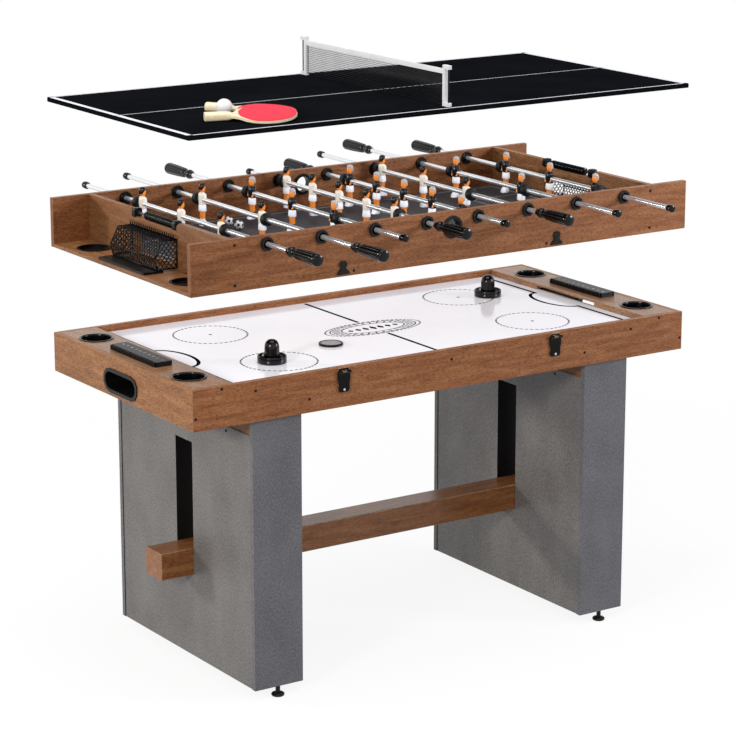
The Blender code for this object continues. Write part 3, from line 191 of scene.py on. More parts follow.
def gloss(tree: Tree, factor: Socket, low: float, high: float) -> Socket:
    """Return a roughness that follows a pattern, low where it is 0 and high where it is 1."""
    return add_node(tree, "MapRange", {"Value": factor, "To Min": low, "To Max": high}).outputs["Result"]


def bump(tree: Tree, height: Socket, strength: float, depth_mm: float) -> Socket:
    """Return a normal bumped by a height, with a strength from 0 to 1."""
    return add_node(tree, "Bump", {"Height": height, "Strength": strength,
                                   "Distance": depth_mm * MM}).outputs["Normal"]


@dataclass(frozen=True)
class Finish:
    """A finish that builds its material once and hands it out again."""

    name: str

    def material(self) -> bpy.types.Material:
        """Build the material, or find it if it is built.

        Returns:
            The material.
        """
        found = bpy.data.materials.get(self.name)
        if not found:
            found = bpy.data.materials.new(self.name)
            found.use_nodes = True
            feed(found.node_tree, found.node_tree.nodes["Principled BSDF"], self.look(found.node_tree))
        return found

    def look(self, tree: Tree) -> dict[str, Any]:
        """Return what the Principled shader's inputs get; each finish has its own."""
        raise NotImplementedError


@dataclass(frozen=True)
class WalnutPaper(Finish):
    """Melamine-faced board with a printed walnut grain, pressed against a satin plate.

    The eye sees short dark pore streaks in soft brown figure, under an even low sheen that
    turns pale where it is seen at a flat angle.
    """

    grain: Axis = Axis.X
    dark: str = "#7a4827"
    middle: str = "#965f38"
    light: str = "#ab754c"
    roughness: float = 0.42
    specular: float = 0.25
    figure_mm: Pair = (14.0, 120.0)
    pore_mm: Pair = (1.8, 10.0)

    def drawn(self, size_mm: Pair) -> list[float]:
        """Return a pattern's sizes along the axes from those across and along the grain."""
        return [size_mm[axis is self.grain] for axis in Axis]

    def look(self, tree: Tree) -> dict[str, Any]:
        """Figure first, then pores drawn coarse enough to show, then the plate's fine texture.

        Args:
            tree: the material's node tree.

        Returns:
            The Principled shader's inputs.
        """
        figure = noise(tree, self.drawn(self.figure_mm), 7.0, 0.62, 0.7)
        pores = noise(tree, self.drawn(self.pore_mm), 3.0, 0.6)
        brown = ramp(tree, figure, (0.30, self.dark), (0.50, self.middle), (0.72, self.light))
        streaks = ramp(tree, pores, (0.38, "#7a6250"), (0.54, "#ffffff"))
        return {"Base Color": blend(tree, 0.6, brown, streaks, "MULTIPLY"),
                "Specular IOR Level": self.specular,
                "Roughness": gloss(tree, pores, self.roughness + 0.08, self.roughness - 0.06),
                "Normal": bump(tree, pores, 0.25, 0.15)}


@dataclass(frozen=True)
class SlatePaper(Finish):
    """Melamine-faced board printed and embossed like woven slate cloth, satin.

    The eye sees an even warm grey with a fine speckle and a faint upright weave.
    """

    dark: str = "#555352"
    light: str = "#7a7877"
    speck_mm: Point = (3.3, 3.3, 6.0)
    cloud_mm: Point = (90.0, 90.0, 150.0)
    roughness: float = 0.44
    specular: float = 0.4

    def look(self, tree: Tree) -> dict[str, Any]:
        """Speckle drawn at 3.3 mm so that it shows, over wide soft clouds.

        Args:
            tree: the material's node tree.

        Returns:
            The Principled shader's inputs.
        """
        speck = noise(tree, self.speck_mm, 2.0, 0.7)
        both = blend(tree, 0.25, speck, noise(tree, self.cloud_mm, 3.0))
        return {"Base Color": ramp(tree, both, (0.40, self.dark), (0.60, self.light)),
                "Roughness": self.roughness, "Specular IOR Level": self.specular,
                "Normal": bump(tree, speck, 0.7, 0.5)}


@dataclass(frozen=True)
class PaintedBoard(Finish):
    """Board with a rolled lacquer or foil coat: one colour, with a slight cloudiness."""

    colour: str
    shade: str
    cloud_mm: float
    roughness: float
    specular: float

    def look(self, tree: Tree) -> dict[str, Any]:
        """Cloud the colour and the gloss a little, as rolled coats do.

        Args:
            tree: the material's node tree.

        Returns:
            The Principled shader's inputs.
        """
        cloud = noise(tree, (self.cloud_mm,) * 3, 4.0)
        return {"Base Color": ramp(tree, cloud, (0.3, self.colour), (0.7, self.shade)),
                "Roughness": gloss(tree, cloud, self.roughness - 0.04, self.roughness + 0.05),
                "Specular IOR Level": self.specular}


@dataclass(frozen=True)
class MouldedPlastic(Finish):
    """Injection-moulded ABS or nylon: an even colour under the mould's own gloss or grain."""

    colour: str
    roughness: float
    specular: float = 0.25
    grain_mm: float = 1.4
    depth_mm: float = 0.03

    def look(self, tree: Tree) -> dict[str, Any]:
        """Vary the gloss with the mould's grain, drawn coarse enough to show.

        Args:
            tree: the material's node tree.

        Returns:
            The Principled shader's inputs.
        """
        grain = noise(tree, (self.grain_mm,) * 3)
        return {"Base Color": linear(self.colour), "Specular IOR Level": self.specular,
                "Roughness": gloss(tree, grain, self.roughness - 0.05, self.roughness + 0.07),
                "Normal": bump(tree, grain, 0.2, self.depth_mm)}


@dataclass(frozen=True)
class PlatedSteel(Finish):
    """Nickel plate on drawn steel tube: bright, with a satin bloom and faint drawing lines."""

    colour: str = "#dee1e4"
    roughness: float = 0.20
    metallic: float = 0.75
    line_mm: float = 1.2
    run_mm: float = 1000 / 6

    def look(self, tree: Tree) -> dict[str, Any]:
        """Metal with lines along the tube, which runs along Y.

        Args:
            tree: the material's node tree.

        Returns:
            The Principled shader's inputs.
        """
        lines = noise(tree, (self.line_mm, self.run_mm, self.line_mm))
        return {"Base Color": linear(self.colour), "Metallic": self.metallic,
                "Roughness": gloss(tree, lines, self.roughness - 0.04, self.roughness + 0.10)}


@dataclass(frozen=True)
class SheetRubber(Finish):
    """Calendered rubber: matt and even, with a fine drag."""

    colour: str
    roughness: float
    specular: float = 0.2
    grain_mm: float = 1.8

    def look(self, tree: Tree) -> dict[str, Any]:
        """Add a little grain and a soft sheen at flat angles.

        Args:
            tree: the material's node tree.

        Returns:
            The Principled shader's inputs.
        """
        grain = noise(tree, (self.grain_mm,) * 3)
        return {"Base Color": blend(tree, 0.12, linear(self.colour), grain, "MULTIPLY"),
                "Roughness": self.roughness, "Specular IOR Level": self.specular,
                "Normal": bump(tree, grain, 0.25, 0.04)}


@dataclass(frozen=True)
class LimePly(Finish):
    """Sanded basswood ply with a thin clear lacquer: pale cream, fine straight grain."""

    dark: str
    light: str
    grain_mm: Point = (60.0, 2.2, 2.2)
    roughness: float = 0.45

    def look(self, tree: Tree) -> dict[str, Any]:
        """Fine straight grain along the handle, drawn at 2 mm so that it shows.

        Args:
            tree: the material's node tree.

        Returns:
            The Principled shader's inputs.
        """
        grain = noise(tree, self.grain_mm, 3.0, 0.6)
        return {"Base Color": ramp(tree, grain, (0.35, self.dark), (0.62, self.light)),
                "Roughness": self.roughness, "Normal": bump(tree, grain, 0.15, 0.05)}


WALNUT_X = WalnutPaper("walnut_paper_along_x", Axis.X)
# Same laminate, its colours a little paler and less red than along X: painted sheen of the lit end faces.
WALNUT_Y_PAINTED_SHEEN = WalnutPaper("walnut_paper_along_y_painted_sheen", Axis.Y, "#7d5232", "#986841", "#ac7e53")
# Deck colours greyer and paler than the other walnut as painted sheen; the higher gloss is real.
WALNUT_DECK_PAINTED_SHEEN = WalnutPaper("walnut_paper_on_deck_painted_sheen", Axis.Y, "#785235", "#926a4a", "#a67f5c", 0.33, 0.55)
WALNUT_BEAM = WalnutPaper("walnut_paper_on_beam", Axis.X, "#7a4829", "#956038", "#a9764c", 0.26, 0.3)
# Paler walnut on the eased arrises: a painted highlight along the edges.
WALNUT_EDGE_HIGHLIGHT = WalnutPaper("walnut_paper_arris_painted_highlight", Axis.X, "#8e6a4c", "#a88767", "#bda083")
SLATE = SlatePaper("slate_paper")
# Same slate laminate, darker and cooler on the front and back boards: painted shade.
SLATE_BOARD_SHADED = SlatePaper("slate_paper_on_boards_painted_shade", "#515054", "#6e6d71")
# Paler slate on the eased arrises: a painted highlight along the edges.
SLATE_EDGE_HIGHLIGHT = SlatePaper("slate_paper_arris_painted_highlight", "#77726f", "#8d8885")
RINK = PaintedBoard("rink_white_foil", "#eef2fb", "#f4f7ff", 200.0, 0.10, 0.40)
RINK_INK = PaintedBoard("rink_line_ink", "#0b0c0f", "#131418", 40.0, 0.45, 0.0)
PITCH = PaintedBoard("pitch_charcoal_foil", "#3d3c40", "#47464a", 160.0, 0.45, 0.12)
PITCH_INK = PaintedBoard("pitch_line_ink", "#c0c0c2", "#cdcdcf", 40.0, 0.50, 0.1)
TENNIS_BLACK = PaintedBoard("tennis_black_lacquer", "#111316", "#17181c", 150.0, 0.30, 0.0)
TENNIS_INK = PaintedBoard("tennis_line_ink", "#eceef2", "#f7f8fa", 60.0, 0.40, 0.2)
# Near black painted shade for the pedestals' slots and hollow cores.
SLOT_SHADE_BLACK = PaintedBoard("slot_black_painted_shade", "#100e0e", "#161313", 60.0, 0.55, 0.1)
PUCK_GREY = PaintedBoard("puck_grey_face", "#8b8b8d", "#a5a5a7", 6.0, 0.45, 0.3)
ABS_BLACK = MouldedPlastic("abs_black_gloss", "#050506", 0.15, 0.3)
GRIP_BLACK = MouldedPlastic("grip_black_gloss", "#040405", 0.13, 0.22)
ABS_SATIN = MouldedPlastic("abs_black_satin", "#0b0b0c", 0.34, 0.18)
NYLON_BLACK = MouldedPlastic("nylon_black", "#0a0a0b", 0.32, 0.2)
LATCH_LACQUER = MouldedPlastic("latch_black_lacquer", "#040405", 0.18, 0.12)
WIRE_LACQUER = MouldedPlastic("cage_wire_black_lacquer", "#030303", 0.28, 0.14)
BALL_WHITE = MouldedPlastic("ball_white_celluloid", "#f4f4f5", 0.42)
SKIN = MouldedPlastic("figure_paint_skin", "#ee8d3c", 0.35)
HAIR_DARK = MouldedPlastic("figure_paint_dark_hair", "#0d0b0c", 0.28)
HAIR_GREY = MouldedPlastic("figure_paint_grey_hair", "#a9a49f", 0.30)
SHIRT_PALE = MouldedPlastic("figure_paint_cream_shirt", "#ded5c6", 0.40)
SHIRT_DARK = MouldedPlastic("figure_paint_navy_shirt", "#0f1117", 0.28)
KIT_WHITE = MouldedPlastic("figure_paint_white", "#f4f5f8", 0.34)
NUMBER_WHITE = MouldedPlastic("number_paint_white", "#d9dadd", 0.50)
POST_WHITE = MouldedPlastic("post_powder_white", "#eff0f3", 0.36)
CHROME = PlatedSteel("rod_chrome")
LATCH_PLATED = PlatedSteel("latch_tongue_nickel", "#c9cacc", 0.22)
RUBBER_BLACK = SheetRubber("rubber_black", "#0b0b0c", 0.55)
BAT_RED = SheetRubber("bat_rubber_red", "#f02b47", 0.55)
BAT_BLACK = SheetRubber("bat_rubber_black", "#121214", 0.60)
BAT_WOOD = LimePly("bat_lime_ply", "#f0dfb0", "#fdf3d6")


# Making pieces


def oval(half_u: float, half_v: float, count: int, power: float = 1.0, start: float = 0.0) -> list[Pair]:
    """Return points round an oval.

    Args:
        half_u: its first half size.
        half_v: its second half size.
        count: how many points it has.
        power: 1 for an ellipse, less for a squarer form.
        start: where the first point lies, as a share of a step.

    Returns:
        The points.
    """
    turns = [2 * math.pi * (i + start) / count for i in range(count)]
    return [tuple(math.copysign(abs(part) ** power, part) * half
                  for part, half in ((math.cos(turn), half_u), (math.sin(turn), half_v))) for turn in turns]


def ease(obj: Thing, width_mm: float, **settings: Any) -> None:
    """Round a piece's edges over.

    Args:
        obj: the piece.
        width_mm: the rounding's width.
        settings: more attributes of the modifier.
    """
    bevel = obj.modifiers.new("eased_arris", "BEVEL")
    for name, value in {"width": width_mm * MM, "segments": 2, **settings}.items():
        setattr(bevel, name, value)


class Shape:
    """A mesh under construction."""

    def __init__(self) -> None:
        """Start with nothing."""
        self.bm = bmesh.new()

    def ring(self, points: Iterable[Sequence[float]],
             centre: Sequence[float] = ORIGIN) -> list[bmesh.types.BMVert]:
        """Add corners at points that are counted from a centre, and return them."""
        return [self.bm.verts.new(Vector(centre) + Vector(point)) for point in points]

    def bridge(self, rings: Sequence[Sequence[bmesh.types.BMVert]], index: int = 0, caps: bool = True,
               smooth: bool = True) -> None:
        """Join rings of corners with faces and close the two ends.

        Args:
            rings: rings of corners; a ring of one corner is a tip.
            index: the material slot.
            caps: whether open ends are closed.
            smooth: whether the joining faces are shaded smooth.
        """
        for low, high in zip(rings, rings[1:]):
            count = max(len(low), len(high))
            for i in range(count):
                j = (i + 1) % count
                corners = [low[i % len(low)], low[j % len(low)], high[j % len(high)], high[i % len(high)]]
                face = self.bm.faces.new(list(dict.fromkeys(corners)))
                face.material_index = index
                face.smooth = smooth
        for ring in (rings[0], rings[-1]) if caps else ():
            if len(ring) > 2:
                self.bm.faces.new(ring).material_index = index

    def turned(self, profile: Sequence[Pair], segments: int, axis: Axis = Axis.Z,
               centre: Sequence[float] = ORIGIN, index: int = 0, flutes: int = 0, depth: float = 0.0,
               fluted: Pair = (0.0, 0.0), loop: bool = False) -> None:
        """Turn a profile about an axis, with flutes along part of it if wanted.

        Args:
            profile: radii and places along the axis, in order.
            segments: points round each ring.
            axis: the axis of turning.
            centre: a point on the axis.
            index: the material slot.
            flutes: how many flutes.
            depth: how deep they go, in metres.
            fluted: the stretch along the axis that has them.
            loop: join the last ring to the first, as a ring with a bore needs.
        """
        rings = []
        for radius, along in profile:
            points = []
            for i in range(segments if radius else 1):
                turn, here = 2 * math.pi * i / segments, radius
                if flutes and fluted[0] <= along <= fluted[1]:
                    here -= depth * (0.5 + 0.5 * math.cos(flutes * turn)) ** 3
                point = [here * math.cos(turn), here * math.sin(turn)]
                point.insert(axis.value, along)
                points.append(point)
            rings.append(self.ring(points, centre))
        self.bridge(rings + rings[:1] if loop else rings, index, not loop)

    def slab(self, outline: Iterable[Pair], low: float, high: float, index: int = 0,
             move: Matrix | None = None) -> None:
        """Stand a flat outline up from low to high.

        Args:
            outline: points in X and Y.
            low: the bottom.
            high: the top.
            index: the material slot.
            move: moves the slab, if given.
        """
        flat, turn = list(outline), move or Matrix.Identity(4)
        self.bridge([self.ring(turn @ Vector((x, y, z)) for x, y in flat) for z in (low, high)], index,
                    smooth=False)

    def wire(self, start: Sequence[float], end: Sequence[float], radius: float, sides: int = 4,
             index: int = 0) -> None:
        """Add a straight round wire between two points.

        Args:
            start: one end.
            end: the other end.
            radius: the wire's radius.
            sides: how many sides it has.
            index: the material slot.
        """
        turn = (Vector(end) - Vector(start)).to_track_quat("Z", "Y").to_matrix()
        self.bridge([self.ring((turn @ Vector((u, v, 0.0)) for u, v in oval(radius, radius, sides, 1.0, 0.5)),
                               point) for point in (start, end)], index)

    def screw_head(self, seat: Point, axis: Axis, way: int, radius: float = 0.0038) -> None:
        """Add a low domed screw head with its socket.

        Args:
            seat: the middle of its underside.
            axis: the screw's axis.
            way: 1 or -1, the way that the head faces along it.
            radius: the head's radius.
        """
        profile = [(radius, 0.0), (radius, 0.0006), (radius * 0.8, 0.0015), (radius * 0.45, 0.0018),
                   (radius * 0.42, 0.0004), (0.0, 0.0004)]
        self.turned([(r, h * way) for r, h in profile], 12, axis, seat)

    def piece(self, name: str, finishes: Sequence[Finish], sharp: float = 35.0,
              as_built: bool = False) -> Thing:
        """Turn the mesh into an object with its finishes.

        Args:
            name: the object's name.
            finishes: one for each material slot.
            sharp: edges that turn more than this many degrees stay sharp.
            as_built: leave the faces' shading as it was built.

        Returns:
            The object, linked to the scene.
        """
        bmesh.ops.recalc_face_normals(self.bm, faces=self.bm.faces)
        mesh = bpy.data.meshes.new(name)
        self.bm.to_mesh(mesh)
        self.bm.free()
        if not as_built:
            mesh.shade_smooth()
            mesh.set_sharp_from_angle(angle=math.radians(sharp))
        for finish in finishes:
            mesh.materials.append(finish.material())
        return show(bpy.data.objects.new(name, mesh))


class Print(Shape):
    """Plain printed lines: a thin layer of ink on a board."""

    def __init__(self, low: float, thickness: float = 0.1 * MM) -> None:
        """Start a layer.

        Args:
            low: the board's top.
            thickness: the ink's thickness.
        """
        super().__init__()
        self.levels = low, low + thickness

    def patch(self, outline: Iterable[Pair]) -> None:
        """Lay a filled outline."""
        self.slab(outline, *self.levels)

    def line(self, path: Sequence[Pair], width: float, closed: bool = False) -> None:
        """Lay a line of one width along a path.

        Args:
            path: points in X and Y.
            width: the line's width.
            closed: join the last point to the first.
        """
        for a, b in zip(path, [*path[1:], path[0]] if closed else path[1:]):
            along = (Vector(b) - Vector(a)).normalized()
            across = Vector((-along.y, along.x)) * width / 2
            corners = [Vector(a) + across, Vector(a) - across, Vector(b) - across, Vector(b) + across]
            self.patch([(c.x, c.y) for c in corners])

    def dashes(self, centre: Pair, radii: Pair, count: int, width: float) -> None:
        """Lay a dashed oval from its middle, its half sizes and the dashes' number and width."""
        for ends in zip(oval(*radii, count), oval(*radii, count, start=0.66)):
            self.line([(centre[0] + x, centre[1] + y) for x, y in ends], width)


def show(obj: Thing) -> Thing:
    """Link an object to the scene and return it."""
    bpy.context.scene.collection.objects.link(obj)
    return obj


def light(unit: str) -> bpy.types.Collection:
    """Return the collection of the pieces that one unit's lamps light."""
    name = unit + "_light"
    return bpy.data.collections.get(name) or bpy.data.collections.new(name)


@dataclass
class SubAssembly:
    """A part of the table whose pieces ride on one body unless they say otherwise."""

    nodes: dict[str, Thing]
    body: str = "table"
    half_length: float = 0.762
    half_width: float = 0.362

    @staticmethod
    def lit(obj: Thing, body: str) -> None:
        """Put a piece in its unit's light, since each lifted unit is lit as if it stood alone.

        Args:
            obj: the piece.
            body: the body that it rides on.
        """
        on_rods = body.startswith(("rod_", "score_beads"))
        unit = next((unit for unit in ("football", "tennis") if body.startswith(unit)), "hockey")
        for name in ("football", "rods") if on_rods else (unit,):
            light(name).objects.link(obj)

    def fit(self, obj: Thing, slot: str, *replaced: str, body: str = "") -> Thing:
        """Put a finished piece on its body and report it.

        Args:
            obj: the piece.
            slot: the record's material slot; not used.
            replaced: the solids that it stands for.
            body: its body, where that isn't the sub-assembly's own.

        Returns:
            The piece.
        """
        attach(obj, body or self.body)
        self.lit(obj, body or self.body)
        if replaced:
            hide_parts(*replaced)
        LOG.info("%s rides on %s", obj.name, body or self.body)
        return obj

    def eased(self, node: str, name: str, slot: str, finishes: Sequence[Finish], arris_mm: float = 0.8,
              pick: Pick | None = None, arris_index: int = -1, body: str = "") -> None:
        """Fit a copy of a solid, its arrises eased and each face dressed by where it lies.

        Args:
            node: the solid's name.
            name: the new piece's name.
            slot: the record's material slot.
            finishes: one for each material slot of the piece.
            arris_mm: the width of the eased edges.
            pick: the slot for a face, from its centre and normal.
            arris_index: the slot of the eased edges, or -1 for that of their neighbours.
            body: its body, where that isn't the sub-assembly's own.
        """
        shape = Shape()
        bm = shape.bm
        bm.from_mesh(self.nodes[node].data)
        bmesh.ops.remove_doubles(bm, verts=bm.verts, dist=0.01 * MM)
        bmesh.ops.dissolve_limit(bm, angle_limit=math.radians(0.5), verts=bm.verts, edges=bm.edges)
        bm.normal_update()
        for face in bm.faces:
            face.material_index = pick(face.calc_center_median(), face.normal) if pick else 0
        obj = shape.piece(name, finishes, 30.0)
        ease(obj, arris_mm, limit_method="ANGLE", angle_limit=math.radians(40), material=arris_index,
             harden_normals=True)
        self.fit(obj, slot, node, body=body)


# The slide-hockey unit


@dataclass
class HockeyUnit(SubAssembly):
    """Base unit: aprons, decks, rink, cups, score keepers, puck returns, pedestals and beam."""

    top: float = 0.838
    rink_top: float = 0.821
    line: float = 0.0098
    thin_line: float = 0.0048
    lines_end: float = 0.340
    middle_line_start: float = 0.072
    goal_line_start: float = 0.092
    goal_line: float = 0.612
    spot: Pair = (0.400, 0.172)
    spot_radius: float = 0.0045
    circle_radius: float = 0.098
    crease: Pair = (0.052, 0.098)
    middle: Pair = (0.146, 0.064)
    lozenge: Pair = (0.0085, 0.020)
    lozenge_step: float = 0.0235
    lozenge_fall: float = 0.0035
    cup_centre: Pair = (0.702, 0.240)
    number_size: float = 0.011
    number_step: float = 0.0222
    number_start: float = 0.100
    number_inset: float = 0.004
    number_height: float = 0.0131
    rib_pitch: float = 0.0105
    rib_depth: float = 0.0045
    head_bottom: float = 0.690
    foot_top: float = 0.0268
    pedestal_x: float = 0.515
    core_half: Pair = (0.0688, 0.0427)
    screws: tuple[Pair, ...] = (
        (0.681, -0.007), (0.585, -0.0255), (0.430, -0.069), (0.755, -0.072), (0.0, -0.027),
    )
    head_screws: Point = (0.069, 0.215, 0.677)

    def build(self) -> None:
        """Build the whole unit."""
        self.boards()
        self.rink()
        for end_name, end in ENDS:
            self.cups(end_name, end)
            self.eased(f"{end_name}_puck_return", f"puck_scoop_{end_name}", "black_plastic", (ABS_SATIN,))
            self.score_bar(end_name)
            self.numbers(end_name, end)
            self.pedestal(end_name)
        self.eased("stretcher_beam", "stretcher", "wood_laminate", (WALNUT_BEAM, WALNUT_EDGE_HIGHLIGHT), 0.8, None, 1)
        self.screw_heads()

    def boards(self) -> None:
        """Aprons and decks, their eased arrises paler as a painted highlight."""
        def latch_base(centre: Vector, _normal: Vector) -> int:
            """Lacquer what stands out of an apron."""
            return 2 * (abs(centre.y) > self.half_width + 0.2 * MM)

        for side_name, _side in SIDES:
            self.eased(f"{side_name}_apron", f"{side_name}_apron_board", "wood_laminate",
                       (WALNUT_X, WALNUT_EDGE_HIGHLIGHT, LATCH_LACQUER), 0.6, latch_base, 1)
        for end_name, _end in ENDS:
            for node, name, wood in (("end_apron", "apron", WALNUT_Y_PAINTED_SHEEN), ("deck", "deck", WALNUT_DECK_PAINTED_SHEEN)):
                self.eased(f"{end_name}_{node}", f"{end_name}_{name}_board", "wood_laminate",
                           (wood, WALNUT_EDGE_HIGHLIGHT), 0.6, None, 1)

    def rink(self) -> None:
        """White field with plain printed lines, circles and creases."""
        board = self.nodes["hockey_field"]
        board.data.materials.clear()
        board.data.materials.append(RINK.material())
        self.lit(board, self.body)
        ink = Print(self.rink_top)
        for _side, side in SIDES:
            ink.line([(0.0, side * self.middle_line_start), (0.0, side * self.lines_end)], self.line)
            for _end, end in ENDS:
                x = end * self.goal_line
                ink.line([(x, side * self.goal_line_start), (x, side * self.lines_end)], self.line)
                centre = end * self.spot[0], side * self.spot[1]
                ink.dashes(centre, (self.circle_radius,) * 2, 44, self.thin_line)
                ink.patch([(centre[0] + u, centre[1] + v)
                           for u, v in oval(self.spot_radius, self.spot_radius, 16)])
        crease = oval(*self.crease, 48)
        for _end, end in ENDS:
            ink.line([(end * (self.goal_line - u), v) for u, v in crease[-12:] + crease[:13]], self.line)
        self.middle_ring(ink)
        self.fit(ink.piece("rink_lines", (RINK_INK,), as_built=True), "white_laminate")

    def middle_ring(self, ink: Print) -> None:
        """Lay the middle's dashed oval, with plain ovals, short rays and a row of lozenges inside it.

        Args:
            ink: the printed layer.
        """
        outer, high, low, inner = ([share * half for half in self.middle]
                                   for share in (0.90, 0.86, 0.70, 0.66))
        ink.dashes((0.0, 0.0), self.middle, 60, self.thin_line)
        for halves in (outer, inner):
            ink.line(oval(*halves, 64), self.thin_line * 0.7, closed=True)
        for ray in zip(oval(*low, 32), oval(*high, 32)):
            ink.line(ray, self.thin_line * 0.8)
        half, tallest = self.lozenge
        for i in range(-3, 4):
            x, tall = i * self.lozenge_step, tallest - self.lozenge_fall * abs(i)
            ink.patch([(x - half, 0.0), (x, -tall), (x + half, 0.0), (x, tall)])

    def cups(self, end_name: str, end: int) -> None:
        """Deep-drawn cups: rolled rim, fluted wall and dished floor.

        Args:
            end_name: left or right.
            end: -1 for the left end, 1 for the right.
        """
        profile = [
            (0.0, -0.060), (0.0335, -0.060), (0.0405, -0.015), (0.0405, 0.0003), (0.0450, 0.0003),
            (0.0456, 0.0010), (0.0453, 0.0020), (0.0443, 0.0026), (0.0425, 0.0027), (0.0405, 0.0024),
            (0.0394, 0.0012), (0.0390, -0.0010), (0.0386, -0.0150), (0.0330, -0.0560),
            (0.0300, -0.0583), (0.0, -0.0585),
        ]
        for side_name, side in SIDES:
            shape = Shape()
            shape.turned(profile, 72, centre=(end * self.cup_centre[0], side * self.cup_centre[1], self.top),
                         flutes=18, depth=0.0011, fluted=(-0.0561, -0.0149))
            self.fit(shape.piece(f"cup_{side_name}_{end_name}", (ABS_BLACK,), 50.0), "black_plastic",
                     f"cup_holder_{side_name}_{end_name}")

    def score_bar(self, end_name: str) -> None:
        """Moulded bar with a smooth top and a row of ribs along each long side.

        Args:
            end_name: left or right.
        """
        low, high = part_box(f"{end_name}_deck_scorer")
        rib, waist = self.rib_pitch, self.rib_depth
        count = int((high.y - low.y) / rib)
        start = (low.y + high.y - count * rib) / 2
        outline: list[Pair] = []
        for x, inner in ((low.x, low.x + waist), (high.x, high.x - waist)):
            teeth = [(px, start + (i + share) * rib) for i in range(count)
                     for px, share in ((inner, 0.0), (inner, 0.35), (x, 0.4), (x, 1.0))]
            outline += teeth[::-1] if outline else teeth
        shape = Shape()
        shape.slab(outline, low.z, high.z - 0.0012)
        xs, ys = (low.x + waist, high.x - waist), (low.y + 0.001, high.y - 0.001)
        shape.slab([(xs[0], ys[0]), (xs[1], ys[0]), (xs[1], ys[1]), (xs[0], ys[1])], high.z - 0.0013, high.z)
        self.fit(shape.piece(f"score_bar_{end_name}", (ABS_SATIN,), 30.0), "black_plastic",
                 f"{end_name}_deck_scorer")

    def numbers(self, end_name: str, end: int) -> None:
        """Plain number row along the score keeper, one to ten.

        Args:
            end_name: left or right.
            end: -1 for the left end, 1 for the right.
        """
        for number in range(1, 11):
            curve = bpy.data.curves.new(f"number_{end_name}_{number}", "FONT")
            curve.body = str(number)
            curve.size = self.number_size
            curve.align_x = "CENTER"
            curve.align_y = "CENTER"
            curve.extrude = 0.05 * MM
            curve.materials.append(NUMBER_WHITE.material())
            text = show(bpy.data.objects.new(curve.name, curve))
            text.location = (end * (self.cup_centre[0] - self.number_inset),
                             end * (self.number_start - self.number_step * (number - 1)),
                             self.top + self.number_height)
            text.rotation_euler = (0.0, 0.0, end * math.radians(90))
            self.fit(text, "black_plastic")

    def pedestal(self, end_name: str) -> None:
        """Slotted box pedestal: slate panels, walnut head rail, near-black painted shade in the slot, and
        black feet.

        Args:
            end_name: left or right.
        """
        half_x, half_y = self.core_half

        def core(centre: Vector, _normal: Vector) -> int:
            """Walnut on the head rail, and near-black painted shade in the slot and the hollow core."""
            in_slot = abs(centre.y) < half_y and abs(abs(centre.x) - self.pedestal_x) < half_x
            return 2 if centre.z > self.head_bottom - 0.5 * MM else 3 * in_slot

        def board(centre: Vector, normal: Vector) -> int:
            """Black on the feet, and black painted shade on the faces that look inwards."""
            return 2 * (centre.z < self.foot_top or normal.y * centre.y < -0.5 * abs(centre.y))

        self.eased(f"pedestal_{end_name}_core", f"pedestal_{end_name}_box", "grey_laminate",
                   (SLATE, SLATE_EDGE_HIGHLIGHT, WALNUT_Y_PAINTED_SHEEN, SLOT_SHADE_BLACK), 0.6, core, 1)
        for side_name, _side in SIDES:
            self.eased(f"pedestal_{end_name}_{side_name}_board", f"pedestal_{end_name}_{side_name}_panel",
                       "grey_laminate", (SLATE_BOARD_SHADED, SLATE_EDGE_HIGHLIGHT, NYLON_BLACK), 0.6, board)

    def screw_heads(self) -> None:
        """Black socket screw heads in the aprons and under the pedestals' heads."""
        shape = Shape()
        for _side, side in SIDES:
            for x, drop in self.screws:
                for end in (-1, 1) if x else (1,):
                    shape.screw_head((end * x, side * self.half_width, self.top + drop), Axis.Y, side)
        reach, y, height = self.head_screws
        for end in (-1, 1):
            for way in (-1, 1):
                for side in (-1, 1):
                    shape.screw_head((end * self.pedestal_x + way * reach, side * y, height), Axis.X, way)
        self.fit(shape.piece("table_screws", (NYLON_BLACK,)), "black_metal")


